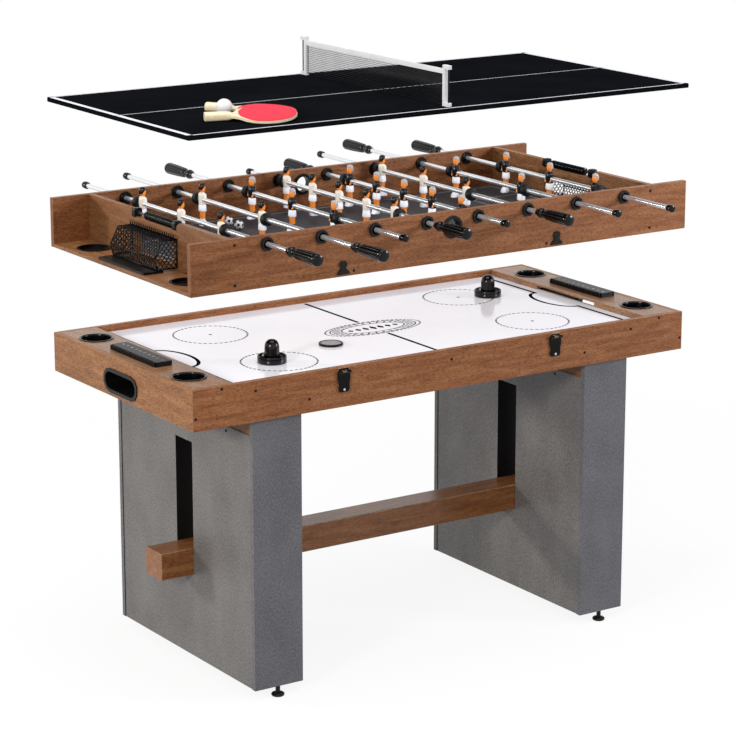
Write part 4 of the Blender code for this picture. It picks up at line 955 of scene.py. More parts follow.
@dataclass
class LooseHockey(SubAssembly):
    """The two strikers and the puck."""

    rink_top: float = 0.8213
    striker_radius: float = 0.0375
    striker_places: tuple[tuple[str, Pair], ...] = (
        ("pusher_left", (-0.420, -0.170)), ("pusher_right", (0.478, 0.140)),
    )
    puck_place: Pair = (-0.196, -0.097)
    puck_face: float = 0.0262

    def build(self) -> None:
        """Build the strikers and the puck."""
        shares = [
            (0.0, 0.0), (0.93, 0.0), (0.99, 0.0012), (1.0, 0.004), (1.0, 0.0165), (0.985, 0.0182),
            (0.95, 0.0188), (0.91, 0.0180), (0.90, 0.0160), (0.88, 0.0075), (0.80, 0.0055), (0.60, 0.0052),
            (0.545, 0.0068), (0.530, 0.0110), (0.505, 0.0380), (0.495, 0.0430), (0.455, 0.0495),
            (0.375, 0.0548), (0.260, 0.0582), (0.130, 0.0597), (0.0, 0.0600),
        ]
        for node, place in self.striker_places:
            shape = Shape()
            shape.turned([(self.striker_radius * share, height) for share, height in shares], 48,
                         centre=(*place, self.rink_top))
            self.fit(shape.piece(node + "_turned", (ABS_BLACK,), 60.0), "black_plastic", node, body=node)
        shape = Shape()
        shape.turned([(0.0, 0.0), (0.0308, 0.0), (0.0320, 0.0010), (0.0320, 0.0050), (0.0308, 0.0060),
                      (0.0270, 0.0060), (self.puck_face, 0.0054), (0.0, 0.0054)], 48,
                     centre=(*self.puck_place, self.rink_top))
        for face in shape.bm.faces:
            centre = face.calc_center_median()
            if math.dist(centre[:2], self.puck_place) < self.puck_face and centre.z > self.rink_top + 0.003:
                face.material_index = 1
        self.fit(shape.piece("puck_disc", (ABS_SATIN, PUCK_GREY), 30.0), "black_plastic", "puck", body="puck")


@dataclass
class Latches(SubAssembly):
    """The four draw-latch levers with their bright rivets."""

    from_middle: float = 0.330
    height: float = 0.780
    stand: float = 0.0048

    def build(self) -> None:
        """Ease each lever and add its rivet."""
        for side_name, side in SIDES:
            for end_name, end in ENDS:
                node = f"latch_{side_name}_{end_name}"
                self.eased(node, node + "_lever", "black_metal", (LATCH_LACQUER,), 0.7, body=node)
                shape = Shape()
                seat = (end * self.from_middle, side * (self.half_width + self.stand), self.height)
                shape.turned([(0.0, 0.0), (0.0032, 0.0), (0.0030, side * 0.0012), (0.0, side * 0.0016)], 16,
                             Axis.Y, seat)
                self.fit(shape.piece(node + "_rivet", (LATCH_PLATED,)), "black_metal", body=node)


# The table-football unit


@dataclass
class FootballTray(SubAssembly):
    """Walls, bushes, ball entries, bed, pitch lines, goal cages and score beads."""

    floor: float = 1.067
    board: float = 0.015
    height: float = 0.129
    rod_height: float = 0.1075
    pitch: float = 0.157
    pitch_top: float = 0.021
    pitch_line: float = 0.0022
    border: Pair = (0.624, 0.325)
    circle_radius: float = 0.095
    goal_areas: tuple[Pair, ...] = ((0.17, 0.19), (0.07, 0.11))
    end_wall: float = 0.642
    entry_height: float = 0.088
    bore_depth: float = 0.0070
    rod_cover: Pair = (0.1107, 0.1317)
    rod_cover_half: float = 0.1091
    dish_height: float = 0.0025
    plate_height: float = 0.0093
    bush_radius: float = 0.0177
    bush_reach: Pair = (0.0060, 0.0047)
    cup_centre: Pair = (0.702, 0.240)
    cup_radius: float = 0.0452
    bead_length: float = 0.0145
    cage_half: float = 0.114
    cage_cell: float = 0.0122
    cage_section: tuple[Pair, ...] = ((0.0, 0.088), (0.041, 0.088), (0.064, 0.045), (0.056, 0.0165))
    wire_radius: float = 0.0013
    frame_radius: float = 0.0018
    prongs: int = 21
    prong: Pair = (0.003, 0.012)
    ball_radius: float = 0.0125
    ball_places: tuple[Pair, ...] = ((-0.295, 0.247), (-0.298, 0.190))
    ball_facings: tuple[Point, ...] = ((-0.42, -0.86, 0.28), (-0.56, -0.78, 0.20))
    screws: tuple[Pair, ...] = ((0.640, 0.114), (0.640, 0.015), (0.298, 0.012))

    def build(self) -> None:
        """Build the whole tray."""
        self.walls()
        self.bed()
        self.pitch_lines()
        self.footballs()
        for end_name, end in ENDS:
            self.cage(end_name, end)
            self.beads(end_name, end)
            self.bead_blocks(end_name, end)
        shape = Shape()
        for _side, side in SIDES:
            for x, height in self.screws:
                for end in (-1, 1):
                    shape.screw_head((end * x, side * self.half_width, self.floor + height), Axis.Y, side)
        self.fit(shape.piece("tray_screws", (NYLON_BLACK,)), "black_metal")

    def walls(self) -> None:
        """Long walls with nylon fittings, and end walls with their bead blocks."""
        half, cover = self.board / 2, self.rod_cover
        low, high, reach = self.floor + 0.010, self.floor + self.height - 0.004, self.half_length - 0.010

        def fittings(centre: Vector, _normal: Vector) -> int:
            """Nylon on what stands out of a long wall and inside its bores.

            Args:
                centre: a face's middle.
                _normal: its direction, not used.

            Returns:
                The face's slot.
            """
            off = abs(abs(centre.y) - (self.half_width - half))
            in_bore = off < self.bore_depth and low < centre.z < high and abs(centre.x) < reach
            return 2 * (in_bore or off > half + 0.2 * MM)

        def blocks(centre: Vector, _normal: Vector) -> int:
            """Nylon on what stands out of an end wall or lies round its bead rod."""
            by_rod = cover[0] < centre.z - self.floor < cover[1] and abs(centre.y) < self.rod_cover_half
            return 2 * (by_rod or abs(abs(centre.x) - (self.end_wall + half)) > half + 0.1 * MM)

        for side_name, side in SIDES:
            self.eased(f"tray_{side_name}_wall", f"tray_{side_name}_board", "wood_laminate",
                       (WALNUT_X, WALNUT_EDGE_HIGHLIGHT, NYLON_BLACK), 0.6, fittings, 1)
            self.bushes(side_name, side)
        for end_name, _end in ENDS:
            self.eased(f"tray_{end_name}_wall", f"tray_{end_name}_board", "wood_laminate",
                       (WALNUT_Y_PAINTED_SHEEN, WALNUT_EDGE_HIGHLIGHT, NYLON_BLACK), 0.5, blocks, 1)

    def bushes(self, side_name: str, side: int) -> None:
        """Flanged nylon bushes and the ball-entry ring of one long wall.

        Args:
            side_name: front or back.
            side: -1 for the front, 1 for the back.
        """
        shape = Shape()
        faces = list(zip((self.half_width, self.half_width - self.board), (side, -side), self.bush_reach))
        r = self.bush_radius
        for index in range(8):
            centre = ((index - 3.5) * self.pitch, 0.0, self.floor + self.rod_height)
            for face, way, reach in faces:
                profile = [(0.0068, 0.0), (r, 0.0), (r + 0.0002, 0.0012), (r - 0.0006, 0.0024),
                           (0.0138, 0.0030), (0.0130, 0.0036), (0.0122, reach - 0.0004),
                           (0.0112, reach), (0.0072, reach), (0.0068, reach - 0.0006)]
                shape.turned([(radius, side * face + way * out) for radius, out in profile], 32, Axis.Y,
                             centre, loop=True)
        profile = [(0.0209, -0.007), (0.0293, 0.0), (0.0294, 0.0016), (0.0280, 0.0031), (0.0250, 0.0034),
                   (0.0220, 0.0031), (0.0208, 0.0014), (0.0207, -0.007)]
        for face, way, _reach in faces:
            shape.turned([(radius, side * face + way * out) for radius, out in profile], 48, Axis.Y,
                         (0.0, 0.0, self.floor + self.entry_height), loop=True)
        self.fit(shape.piece(f"tray_{side_name}_bushes", (NYLON_BLACK,)), "black_plastic")

    def bed(self) -> None:
        """Walnut base board with black cup dishes and score plates, and the charcoal pitch board."""
        def fittings(centre: Vector, _normal: Vector) -> int:
            """Black in the cups' dishes and on the score plates."""
            in_dish = math.dist((abs(centre.x), abs(centre.y)), self.cup_centre) < self.cup_radius
            return int(centre.z > self.floor + (self.dish_height if in_dish else self.plate_height))

        self.eased("foosball_bed", "tray_base_board", "wood_laminate", (WALNUT_Y_PAINTED_SHEEN, ABS_SATIN), 0.3, fittings)
        self.eased("foosball_pitch", "tray_pitch_board", "green_laminate", (PITCH,), 0.3)

    def pitch_lines(self) -> None:
        """Plain printed lines: border, halfway line, centre circle and goal areas."""
        ink = Print(self.floor + self.pitch_top)
        x, y = self.border
        ink.line([(-x, -y), (x, -y), (x, y), (-x, y)], self.pitch_line, closed=True)
        ink.line([(0.0, -y), (0.0, y)], self.pitch_line)
        ink.line(oval(self.circle_radius, self.circle_radius, 48), self.pitch_line, closed=True)
        for _end, end in ENDS:
            for depth, half in self.goal_areas:
                ink.line([(end * x, -half), (end * (x - depth), -half), (end * (x - depth), half),
                          (end * x, half)], self.pitch_line)
        self.fit(ink.piece("pitch_lines", (PITCH_INK,), as_built=True), "green_laminate")

    def outside(self, end: int, reach: float, y: float, height: float) -> Vector:
        """Return a point by its reach out of an end wall and its height above the tray's underside."""
        return Vector((end * (self.end_wall + self.board + 0.3 * MM + reach), y, self.floor + height))

    def on_section(self, end: int, along: float, y: float) -> Vector:
        """Return a point of the cage's bent sheet.

        Args:
            end: -1 for the left cage, 1 for the right.
            along: the distance along its section, from the wall.
            y: the place across the table.

        Returns:
            The point.
        """
        for a, b in zip(self.cage_section, self.cage_section[1:]):
            length = math.dist(a, b)
            if along <= length or b == self.cage_section[-1]:
                share = min(along / length, 1.0)
                return self.outside(end, a[0] + (b[0] - a[0]) * share, y, a[1] + (b[1] - a[1]) * share)
            along -= length
        raise ValueError(along)

    def cage(self, end_name: str, end: int) -> None:
        """Hexagonal wire mesh bent over the goal mouth, with its two side plates.

        Args:
            end_name: left or right.
            end: -1 for the left cage, 1 for the right.
        """
        shape = Shape()

        def bar(start: Vector, stop: Vector) -> None:
            """Add one of the frame's thicker wires."""
            shape.wire(start, stop, self.frame_radius, 6)

        half, tiny, margin = self.cage_half, 1e-6, 0.001
        steps = [0.0]
        for a, b in zip(self.cage_section, self.cage_section[1:]):
            steps.append(steps[-1] + math.dist(a, b))
        for a, b in self.honeycomb((-half, half), (margin, steps[-1] - margin)):
            shape.wire(self.on_section(end, a[1], a[0]), self.on_section(end, b[1], b[0]), self.wire_radius)
        for y in (-half, half):
            for start, stop in zip(steps, steps[1:]):
                bar(self.on_section(end, start, y), self.on_section(end, stop - tiny, y))
        for along in (steps[0], steps[2], steps[3] - tiny):
            bar(self.on_section(end, along, -half), self.on_section(end, along, half))
        low, high = self.cage_section[-1][1], self.cage_section[0][1]
        for y in (-half, half):
            corner = self.outside(end, margin, y, low)
            bar(corner, self.outside(end, margin, y, high))
            bar(corner, self.on_section(end, steps[-1] - tiny, y))
            for a, b in self.honeycomb((0.0, self.cage_section[2][0]), (low, high)):
                if self.in_section(*a) and self.in_section(*b):
                    shape.wire(self.outside(end, a[0], y, a[1]), self.outside(end, b[0], y, b[1]),
                               self.wire_radius)
        for i in range(self.prongs):
            foot = self.on_section(end, 0.010, -half + (i + 0.5) * 2 * half / self.prongs)
            bar(foot, foot + Vector((-end * self.prong[0], 0.0, self.prong[1])))
        self.fit(shape.piece(f"goal_mesh_{end_name}", (WIRE_LACQUER,), as_built=True), "black_metal",
                 f"goal_cage_{end_name}")

    def in_section(self, reach: float, height: float) -> bool:
        """Tell whether a point of a side plate lies inside the cage's outline.

        Args:
            reach: how far it is out of the wall.
            height: how far it is above the tray's underside.

        Returns:
            True if it does.
        """
        for (x0, z0), (x1, z1) in zip(self.cage_section[1:], self.cage_section[2:]):
            if min(z0, z1) <= height <= max(z0, z1):
                return 0 <= reach <= x0 + (x1 - x0) * (height - z0) / (z1 - z0)
        return False

    def honeycomb(self, across: Pair, up: Pair) -> list[tuple[Pair, Pair]]:
        """Return the edges of a honeycomb that fills a rectangle.

        Args:
            across: its limits across.
            up: its limits upwards.

        Returns:
            Pairs of end points, cut off at the limits.
        """
        cell, row = self.cage_cell, self.cage_cell * 0.62
        edges = []
        for j in range(int((up[1] - up[0]) / row) + 2):
            for i in range(int((across[1] - across[0]) / cell) + 2):
                x, y = across[0] + i * cell + (cell / 2 if j % 2 else 0.0), up[0] + j * row
                hub = (x, y + row * 0.18)
                edges += [((x, y - row * 0.18), hub), (hub, (x + cell / 2, y + row * 0.82)),
                          (hub, (x - cell / 2, y + row * 0.82))]

        def clip(point: Pair) -> Pair:
            """Move a point to the nearest one inside the rectangle."""
            return min(max(point[0], across[0]), across[1]), min(max(point[1], up[0]), up[1])

        cut = [(clip(a), clip(b)) for a, b in edges]
        return [(a, b) for a, b in cut if math.dist(a, b) > 0.25 * MM]

    def beads(self, end_name: str, end: int) -> None:
        """Ribbed counting beads pushed along the end wall's rod.

        Args:
            end_name: left or right.
            end: -1 for the left wall, 1 for the right.
        """
        rod = self.bead_rod(end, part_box(f"score_beads_{end_name}")[0].y)
        shape = Shape()
        for i in range(10):
            start, last = i * self.bead_length + 0.0002, (i + 1) * self.bead_length - 0.0002
            profile = [(0.0034, start), (0.0090, start), (0.0102, start + 0.0010)]
            for rib in (start + 0.0014, start + 0.0076):
                profile += [(0.0104, rib), (0.0104, rib + 0.0024), (0.0070, rib + 0.0030),
                            (0.0070, rib + 0.0056)]
            profile += [(0.0100, last - 0.0006), (0.0092, last), (0.0034, last)]
            shape.turned(profile, 24, Axis.Y, rod, loop=True)
        self.fit(shape.piece(f"beads_{end_name}", (GRIP_BLACK,), 50.0), "black_plastic",
                 f"score_beads_{end_name}", body=f"score_beads_{end_name}")

    def bead_rod(self, end: int, y: float) -> Point:
        """Return the point of an end wall's bead rod at a place across the table."""
        return end * (self.end_wall + self.board / 2), y, self.floor + self.height - 0.0085

    def bead_blocks(self, end_name: str, end: int) -> None:
        """Rounded nylon blocks that hold the ends of a bead rod.

        Args:
            end_name: left or right.
            end: -1 for the left wall, 1 for the right.
        """
        shape = Shape()
        for _side, side in SIDES:
            shape.bridge([shape.ring(((u, side * along, v) for u, v in oval(half, half, 28, 0.45)),
                                     self.bead_rod(end, 0.0))
                          for half, along in ((0.0106, 0.0948), (0.0117, 0.0958), (0.0119, 0.0990),
                                              (0.0119, 0.1060), (0.0116, 0.1085), (0.0104, 0.1094))])
        self.fit(shape.piece(f"bead_blocks_{end_name}", (NYLON_BLACK,)), "black_plastic")

    def footballs(self) -> None:
        """Two small footballs lying on the pitch: white six-sided panels round black five-sided ones."""
        shape = Shape()
        for place, facing in zip(self.ball_places, self.ball_facings):
            ball = bmesh.new()
            bmesh.ops.create_icosphere(ball, subdivisions=1, radius=self.ball_radius)
            bmesh.ops.bevel(ball, geom=ball.verts[:], offset=100 / 3, offset_type="PERCENT",
                            affect="VERTICES", segments=1)
            for face in ball.faces:
                face.material_index = int(len(face.verts) == 5)
            bmesh.ops.poke(ball, faces=ball.faces[:])
            bmesh.ops.subdivide_edges(ball, edges=ball.edges[:], cuts=3, use_grid_fill=True)
            turn = Vector(facing).to_track_quat("Z", "Y")
            centre = Vector((*place, self.floor + self.pitch_top + self.ball_radius + 0.2 * MM))
            copies = {vert: shape.bm.verts.new(turn @ (vert.co.normalized() * self.ball_radius) + centre)
                      for vert in ball.verts}
            for face in ball.faces:
                copy = shape.bm.faces.new([copies[vert] for vert in face.verts])
                copy.material_index = face.material_index
            ball.free()
        self.fit(shape.piece("footballs", (BALL_WHITE, ABS_BLACK)), "white_plastic")


class Coat(IntEnum):
    """The material slots of a rod with its figures; socks take theirs from the team."""

    TUBE = 0
    GRIP = 1
    RUBBER = 2
    SKIN = 3
    SHIRT = 4
    WHITE = 5
    HAIR = 6
    SATIN = 7
    SOCK = 8


# A figure's lofts: slot, points round, squareness, whether it comes on both sides, and its sections
# in mm: height above the rod, half depth, half width, shift forwards and shift sideways.
FIGURE = (
    (Coat.WHITE, 16, 4.5, False, (
        (-69.8, 10.0, 8.0, 3.5, 0), (-69.0, 11.0, 8.8, 3.5, 0), (-61.0, 8.8, 9.2, 2.2, 0),
        (-56.0, 6.2, 9.0, 0.8, 0), (-54.5, 5.0, 8.4, 0, 0))),
    (Coat.SOCK, 10, 2.6, True, (
        (-56.0, 4.8, 4.2, 0, 4.1), (-50.0, 4.8, 4.2, 0, 4.1), (-49.9, 4.4, 4.0, 0, 4.1))),
    (Coat.SKIN, 12, 2.6, True, (
        (-50.0, 4.6, 4.0, 0, 4.1), (-44.0, 5.6, 4.4, -0.4, 4.1), (-38.0, 5.2, 4.2, 0, 4.1),
        (-31.0, 6.2, 4.7, 0, 4.51), (-27.0, 6.4, 4.8, 0, 4.715))),
    (Coat.WHITE, 18, 3.0, False, (
        (-30.0, 8.6, 11.2, 0, 0), (-29.5, 9.0, 11.5, 0, 0), (-20.0, 8.6, 10.8, 0, 0),
        (-12.0, 7.8, 10.0, 0, 0))),
    (Coat.SHIRT, 20, 2.8, False, (
        (-12.5, 8.0, 10.2, 0, 0), (-10.0, 8.3, 10.6, 0, 0), (-4.0, 8.8, 10.6, 0.4, 0),
        (4.0, 9.4, 11.3, 0.8, 0), (11.0, 9.2, 12.2, 0.6, 0), (15.5, 7.6, 12.4, 0, 0),
        (18.2, 5.2, 9.2, -0.4, 0), (19.6, 3.6, 4.8, 0, 0))),
    (Coat.SHIRT, 10, 2.6, True, (
        (16.0, 3.4, 2.2, 0, 10.8), (13.0, 4.4, 2.8, 0, 11.8), (4.0, 4.2, 2.6, 1.0, 12.2),
        (-2.0, 3.8, 2.2, 2.6, 11.7))),
    (Coat.SKIN, 10, 2.6, True, (
        (-1.5, 3.4, 2.0, 2.6, 11.6), (-7.0, 3.4, 2.0, 5.2, 10.6), (-9.8, 2.6, 1.6, 6.0, 10.2))),
    (Coat.SKIN, 12, 2.6, False, ((17.0, 4.0, 4.0, 0, 0), (21.5, 3.8, 3.8, 0.4, 0))),
    (Coat.SKIN, 16, 2.1, False, (
        (20.0, 3.8, 3.4, 1.4, 0), (21.8, 6.2, 5.2, 1.2, 0), (25.5, 8.0, 6.6, 0.6, 0),
        (31.0, 8.8, 7.4, 0, 0), (36.0, 8.2, 7.4, 0, 0), (40.0, 6.0, 5.6, 0, 0), (41.2, 3.0, 3.0, 0, 0))),
    (Coat.SKIN, 8, 2.6, False, (
        (26.6, 1.0, 0.9, 8.6, 0), (27.5, 1.4, 1.2, 9.0, 0), (30.2, 1.0, 0.9, 8.8, 0))),
    (Coat.HAIR, 16, 2.2, False, (
        (26.2, 3.0, 6.8, -5.6, 0), (30.0, 5.0, 7.9, -4.4, 0), (34.5, 8.0, 8.2, -1.4, 0),
        (38.5, 8.6, 8.0, -0.2, 0), (42.0, 7.0, 6.6, -0.2, 0), (43.8, 4.0, 3.8, -0.4, 0))),
)


@dataclass
class PlayerRod(SubAssembly):
    """One rod: chromed tube, fluted handle, end cap, bumper rings and painted figures."""

    number: int = 1
    node: str = ""
    figures: tuple[float, ...] = ()
    handle_reach: float = 0.648
    cap_reach: float = 0.523
    side: Side = Side.FRONT
    push: float = 0.0
    axis_height: float = 1.1745
    pitch: float = 0.157
    tube_radius: float = 0.00635
    grip_radius: float = 0.0155
    grip_taper: float = 0.0026
    handle_length: float = 0.110
    bumper_radius: float = 0.0165
    bumper_length: float = 0.016
    figure_half: float = 0.0135

    def build(self) -> None:
        """Build the rod with its figures, and its loose bumper ring."""
        shape = Shape()
        self.tube(shape)
        self.handle(shape)
        self.bumper(shape, -1, Coat.RUBBER)
        for y in self.figures:
            self.figure(shape, y)
        shirt, hair = (SHIRT_PALE, HAIR_DARK) if self.side is Side.FRONT else (SHIRT_DARK, HAIR_GREY)
        finishes = (CHROME, GRIP_BLACK, RUBBER_BLACK, SKIN, shirt, KIT_WHITE, hair, ABS_SATIN)
        self.fit(shape.piece(f"rod_{self.number}_with_figures", finishes, 42.0), "chromed_steel", self.node,
                 body=f"rod_{self.number}")
        shape = Shape()
        self.bumper(shape, 1, 0)
        self.fit(shape.piece(f"bumper_{self.number}_ring", (RUBBER_BLACK,), 42.0), "black_rubber",
                 f"bumper_{self.number}", body=f"rod_{self.number}_ring")

    def turned(self, shape: Shape, profile: Iterable[Pair], segments: int, index: int, **more: Any) -> None:
        """Turn radii and places, counted from the rod's middle towards its handle, as Shape.turned does."""
        shape.turned([(radius, place * self.side.value) for radius, place in profile], segments, Axis.Y,
                     self.middle(), index, **more)

    def middle(self, y: float = 0.0) -> Point:
        """Return the point of the rod at a place counted from its middle."""
        return (self.number - 4.5) * self.pitch, self.push + y, self.axis_height

    def tube(self, shape: Shape) -> None:
        """Chromed tube and its rubber end cap.

        Args:
            shape: the mesh to add to.
        """
        r, cap, stop = self.tube_radius, -self.cap_reach, self.handle_reach - self.handle_length
        self.turned(shape, [(0.0, cap + 0.002), (r, cap + 0.002), (r, stop), (0.0, stop)], 20, Coat.TUBE)
        self.turned(shape, [(r, cap + 0.020), (0.0085, cap + 0.020), (0.0095, cap + 0.0185),
                            (0.0098, cap + 0.004), (0.0090, cap + 0.0012), (0.0070, cap), (0.0, cap)],
                    20, Coat.GRIP)

    def handle(self, shape: Shape) -> None:
        """Fluted grip with its neck and collar.

        Args:
            shape: the mesh to add to.
        """
        profile = [(0.0, 0.0), (0.0126, 0.0), (0.0140, 0.0012), (0.0152, 0.0040), (0.0155, 0.0080)]
        for i in range(15):
            share = i / 14
            profile.append((self.grip_radius - self.grip_taper * share ** 2.0, 0.0085 + 0.0855 * share))
        profile += [(0.0112, 0.0980), (0.0088, 0.1030), (0.0084, 0.1100), (0.0102, 0.1125),
                    (0.0126, 0.1150), (0.0129, 0.1200), (0.0118, 0.1245), (0.0094, 0.1290),
                    (0.0086, 0.1350), (self.tube_radius, 0.1360)]
        end = self.handle_reach
        fluted = sorted((self.side.value * (end - 0.0086), self.side.value * (end - 0.0945)))
        self.turned(shape, [(radius, end - back) for radius, back in profile], 64, Coat.GRIP, flutes=8,
                    depth=0.0026, fluted=fluted)

    def bumper(self, shape: Shape, way: int, index: int) -> None:
        """Rubber bumper ring beside the outer figure.

        Args:
            shape: the mesh to add to.
            way: 1 for the handle's side, -1 for the other.
            index: the material slot.
        """
        near = self.figures[-1] + self.figure_half + 0.0006
        r, far = self.bumper_radius, near + self.bumper_length
        profile = [(0.0067, near), (r - 0.0022, near), (r - 0.0006, near + 0.0010), (r, near + 0.0030),
                   (r, far - 0.0030), (r - 0.0006, far - 0.0010), (r - 0.0022, far), (0.0067, far)]
        self.turned(shape, [(radius, way * place) for radius, place in profile], 28, index, loop=True)

    def figure(self, shape: Shape, y: float) -> None:
        """Moulded player pinned to the rod, its chest towards the other goal.

        Args:
            shape: the mesh to add to.
            y: its place, counted from the rod's middle.
        """
        sock = Coat.WHITE if self.side is Side.FRONT else Coat.SATIN
        way = -self.side.value
        for coat, segments, squareness, twice, sections in FIGURE:
            for mirror in (-1, 1) if twice else (1,):
                rings = []
                for height, depth, width, forward, sideways in sections:
                    points = oval(depth * MM, width * MM, segments, 2 / squareness)
                    rings.append(shape.ring([(u + way * forward * MM, v + mirror * sideways * MM, height * MM)
                                             for u, v in points], self.middle(y)))
                shape.bridge(rings, sock if coat is Coat.SOCK else coat)


# The table-tennis unit


@dataclass
class TennisUnit(SubAssembly):
    """Playing board, printed lines, net with clamp posts, bats and ball."""

    top: float = 1.457
    end_band: float = 0.014
    side_line: float = 0.006
    side_inset: float = 0.004
    end_inset: float = 0.0012
    middle_line: float = 0.003
    joint: float = 0.002
    net_half: float = 0.322
    net_top: float = 0.094
    net_bottom: float = 0.004
    tape: float = 0.013
    mesh_gap: float = 0.0046
    cord_radius: float = 0.00055
    post_height: float = 0.104
    post_arm: float = 0.010
    post_reaches: Point = (-0.002, 0.008, 0.024)
    post_half: float = 0.0055
    post_gap: float = 0.0003
    spindle_inset: float = 0.006
    spindle_radius: float = 0.0022
    blade: Pair = (0.0775, 0.0740)
    blade_arc: float = 122.0
    ball_radius: float = 0.020
    ball_place: Pair = (-0.532, -0.139)

    def build(self) -> None:
        """Build the whole unit."""
        self.eased("tennis_top", "tennis_board", "dark_laminate", (TENNIS_BLACK,))
        self.lines()
        self.net()
        self.posts()
        self.bat("bat_front", (-0.485, -0.256, self.top + 0.01378), (6.90, -0.72, -21.0))
        self.bat("bat_rear", (-0.437, -0.175, self.top + 0.00762), (0.0, 2.08, -45.0))
        shape = Shape()
        bmesh.ops.create_uvsphere(shape.bm, u_segments=48, v_segments=32, radius=self.ball_radius,
                                  matrix=Matrix.Translation((*self.ball_place,
                                                             self.top + self.ball_radius + 0.3 * MM)))
        self.fit(shape.piece("ball", (BALL_WHITE,), 180.0), "white_plastic", "tennis_ball")

    def lines(self) -> None:
        """White border and middle line, printed on the lacquer."""
        ink = Print(self.top)
        x, y = self.half_length - self.end_inset, self.half_width - self.side_inset
        for way in (-1, 1):
            end, side = way * (x - self.end_band / 2), way * (y - self.side_line / 2)
            ink.line([(end, -y), (end, y)], self.end_band)
            ink.line([(-x, side), (x, side)], self.side_line)
        for start, stop in ((-x, -self.joint), (self.joint, x)):
            ink.line([(start, 0.0), (stop, 0.0)], self.middle_line)
        self.fit(ink.piece("tennis_lines", (TENNIS_INK,), as_built=True), "dark_laminate")

    def net(self) -> None:
        """Stretched net: fine knotted cords with a white top tape and a hem."""
        half, low, high = self.net_half, self.net_bottom, self.net_top - self.tape + 0.001
        shape = Shape()
        columns, rows = int(2 * half / self.mesh_gap), int((high - low) / self.mesh_gap)
        for i in range(columns + 1):
            y = -half + 2 * half * i / columns
            shape.wire((0.0, y, self.top + low), (0.0, y, self.top + high), self.cord_radius, 6)
        for j in range(rows + 1):
            z = self.top + low + (high - low) * j / rows
            shape.wire((0.0, -half, z), (0.0, half, z), self.cord_radius, 6)
        cords = self.fit(shape.piece("net_cords", (NYLON_BLACK,), as_built=True), "black_cloth", "tennis_net")
        seam, hem, top = self.net_top - self.tape, self.net_top - 0.004, self.net_top
        outline = [(-0.0012, seam), (-0.0016, hem), (-0.0010, top), (0.0010, top), (0.0016, hem),
                   (0.0012, seam)]
        shape = Shape()
        shape.bridge([shape.ring((x, y, self.top + z) for x, z in outline) for y in (-half, half)])
        tape = self.fit(shape.piece("net_tape", (TENNIS_INK,), 20.0), "black_cloth")

    def posts(self) -> None:
        """White clamp brackets with a dark screw spindle between their arms."""
        shape = Shape()
        inner, outer, reach = (self.net_half + step for step in self.post_reaches)
        arm, height, gap = self.post_arm, self.post_height, self.post_gap
        outline = [(inner, gap), (reach, gap), (reach, arm), (outer, arm), (outer, height - arm),
                   (reach, height - arm), (reach, height), (inner, height)]
        for _side, side in SIDES:
            turn = Matrix(((0, 0, 1, 0), (side, 0, 0, 0), (0, 1, 0, self.top), (0, 0, 0, 1)))
            shape.slab(outline, -self.post_half, self.post_half, 0, turn)
            y, low, high = side * (reach - self.spindle_inset), self.top + arm, self.top + height - arm
            shape.wire((0.0, y, low), (0.0, y, high), self.spindle_radius, 12, 1)
        posts = shape.piece("net_posts", (POST_WHITE, NYLON_BLACK), 30.0)
        ease(posts, 0.8)
        self.fit(posts, "black_cloth")

    def bat(self, name: str, place: Point, angles: Point) -> None:
        """Table-tennis bat: ply blade, red and black rubbers, and a flared ply grip.

        Args:
            name: the solid that it replaces.
            place: the blade's middle.
            angles: roll, tilt and turn, in degrees.
        """
        move = Matrix.LocRotScale(Vector(place), Euler([math.radians(a) for a in angles]), None)
        shape = Shape()
        arc = math.radians(self.blade_arc)
        turns = [-arc + 2 * arc * i / 40 for i in range(41)]
        round_part = [(self.blade[0] * math.cos(a), self.blade[1] * math.sin(a)) for a in turns]
        neck = [(-0.0570, 0.0460), (-0.0680, 0.0290), (-0.0790, 0.0175), (-0.0900, 0.0132)]
        shape.slab(round_part + neck + [(x, -y) for x, y in reversed(neck)], -0.0030, 0.0030, 0, move)
        rubber = [(x * 0.985, y * 0.985) for x, y in round_part]
        rubber += [(-0.0520, 0.0440), (-0.0640, 0.0210), (-0.0660, 0.0), (-0.0640, -0.0210),
                   (-0.0520, -0.0440)]
        shape.slab(rubber, 0.0030, 0.0046, 1, move)
        shape.slab(rubber, -0.0045, -0.0030, 2, move)
        grip = ((-0.0780, 0.0100, 0.0045), (-0.0840, 0.0124, 0.0078), (-0.0930, 0.0132, 0.0100),
                (-0.1120, 0.0128, 0.0105), (-0.1320, 0.0136, 0.0105), (-0.1460, 0.0149, 0.0105),
                (-0.1490, 0.0149, 0.0102), (-0.1500, 0.0138, 0.0092))
        shape.bridge([shape.ring(move @ Vector((x, u, v)) for u, v in oval(half_y, half_z, 24, 0.6))
                      for x, half_y, half_z in grip], 0)
        self.fit(shape.piece(name + "_dressed", (BAT_WOOD, BAT_RED, BAT_BLACK), 40.0), "red_rubber", name)


# Studio and camera


@dataclass
class Lamp:
    """A square soft lamp that lights one unit and is shaded by that unit alone.

    It faces a height over the table's middle, and gloss mirrors it only where glints says so.
    """

    name: str
    unit: str
    place: Point
    size: float
    watts: float
    aim: float
    tint: str
    glints: bool = True

    def hang(self) -> None:
        """Add the lamp to the scene."""
        data = bpy.data.lights.new(self.name, "AREA")
        data.color = linear(self.tint)[:3]
        data.shape = "SQUARE"
        data.size = self.size
        data.energy = self.watts
        lamp = show(bpy.data.objects.new(self.name, data))
        lamp.location = self.place
        lamp.visible_glossy = self.glints
        way = Vector((0.0, 0.0, self.aim)) - Vector(self.place)
        lamp.rotation_euler = way.to_track_quat("-Z", "Y").to_euler()
        lamp.light_linking.receiver_collection = light(self.unit)
        lamp.light_linking.blocker_collection = light(self.unit)


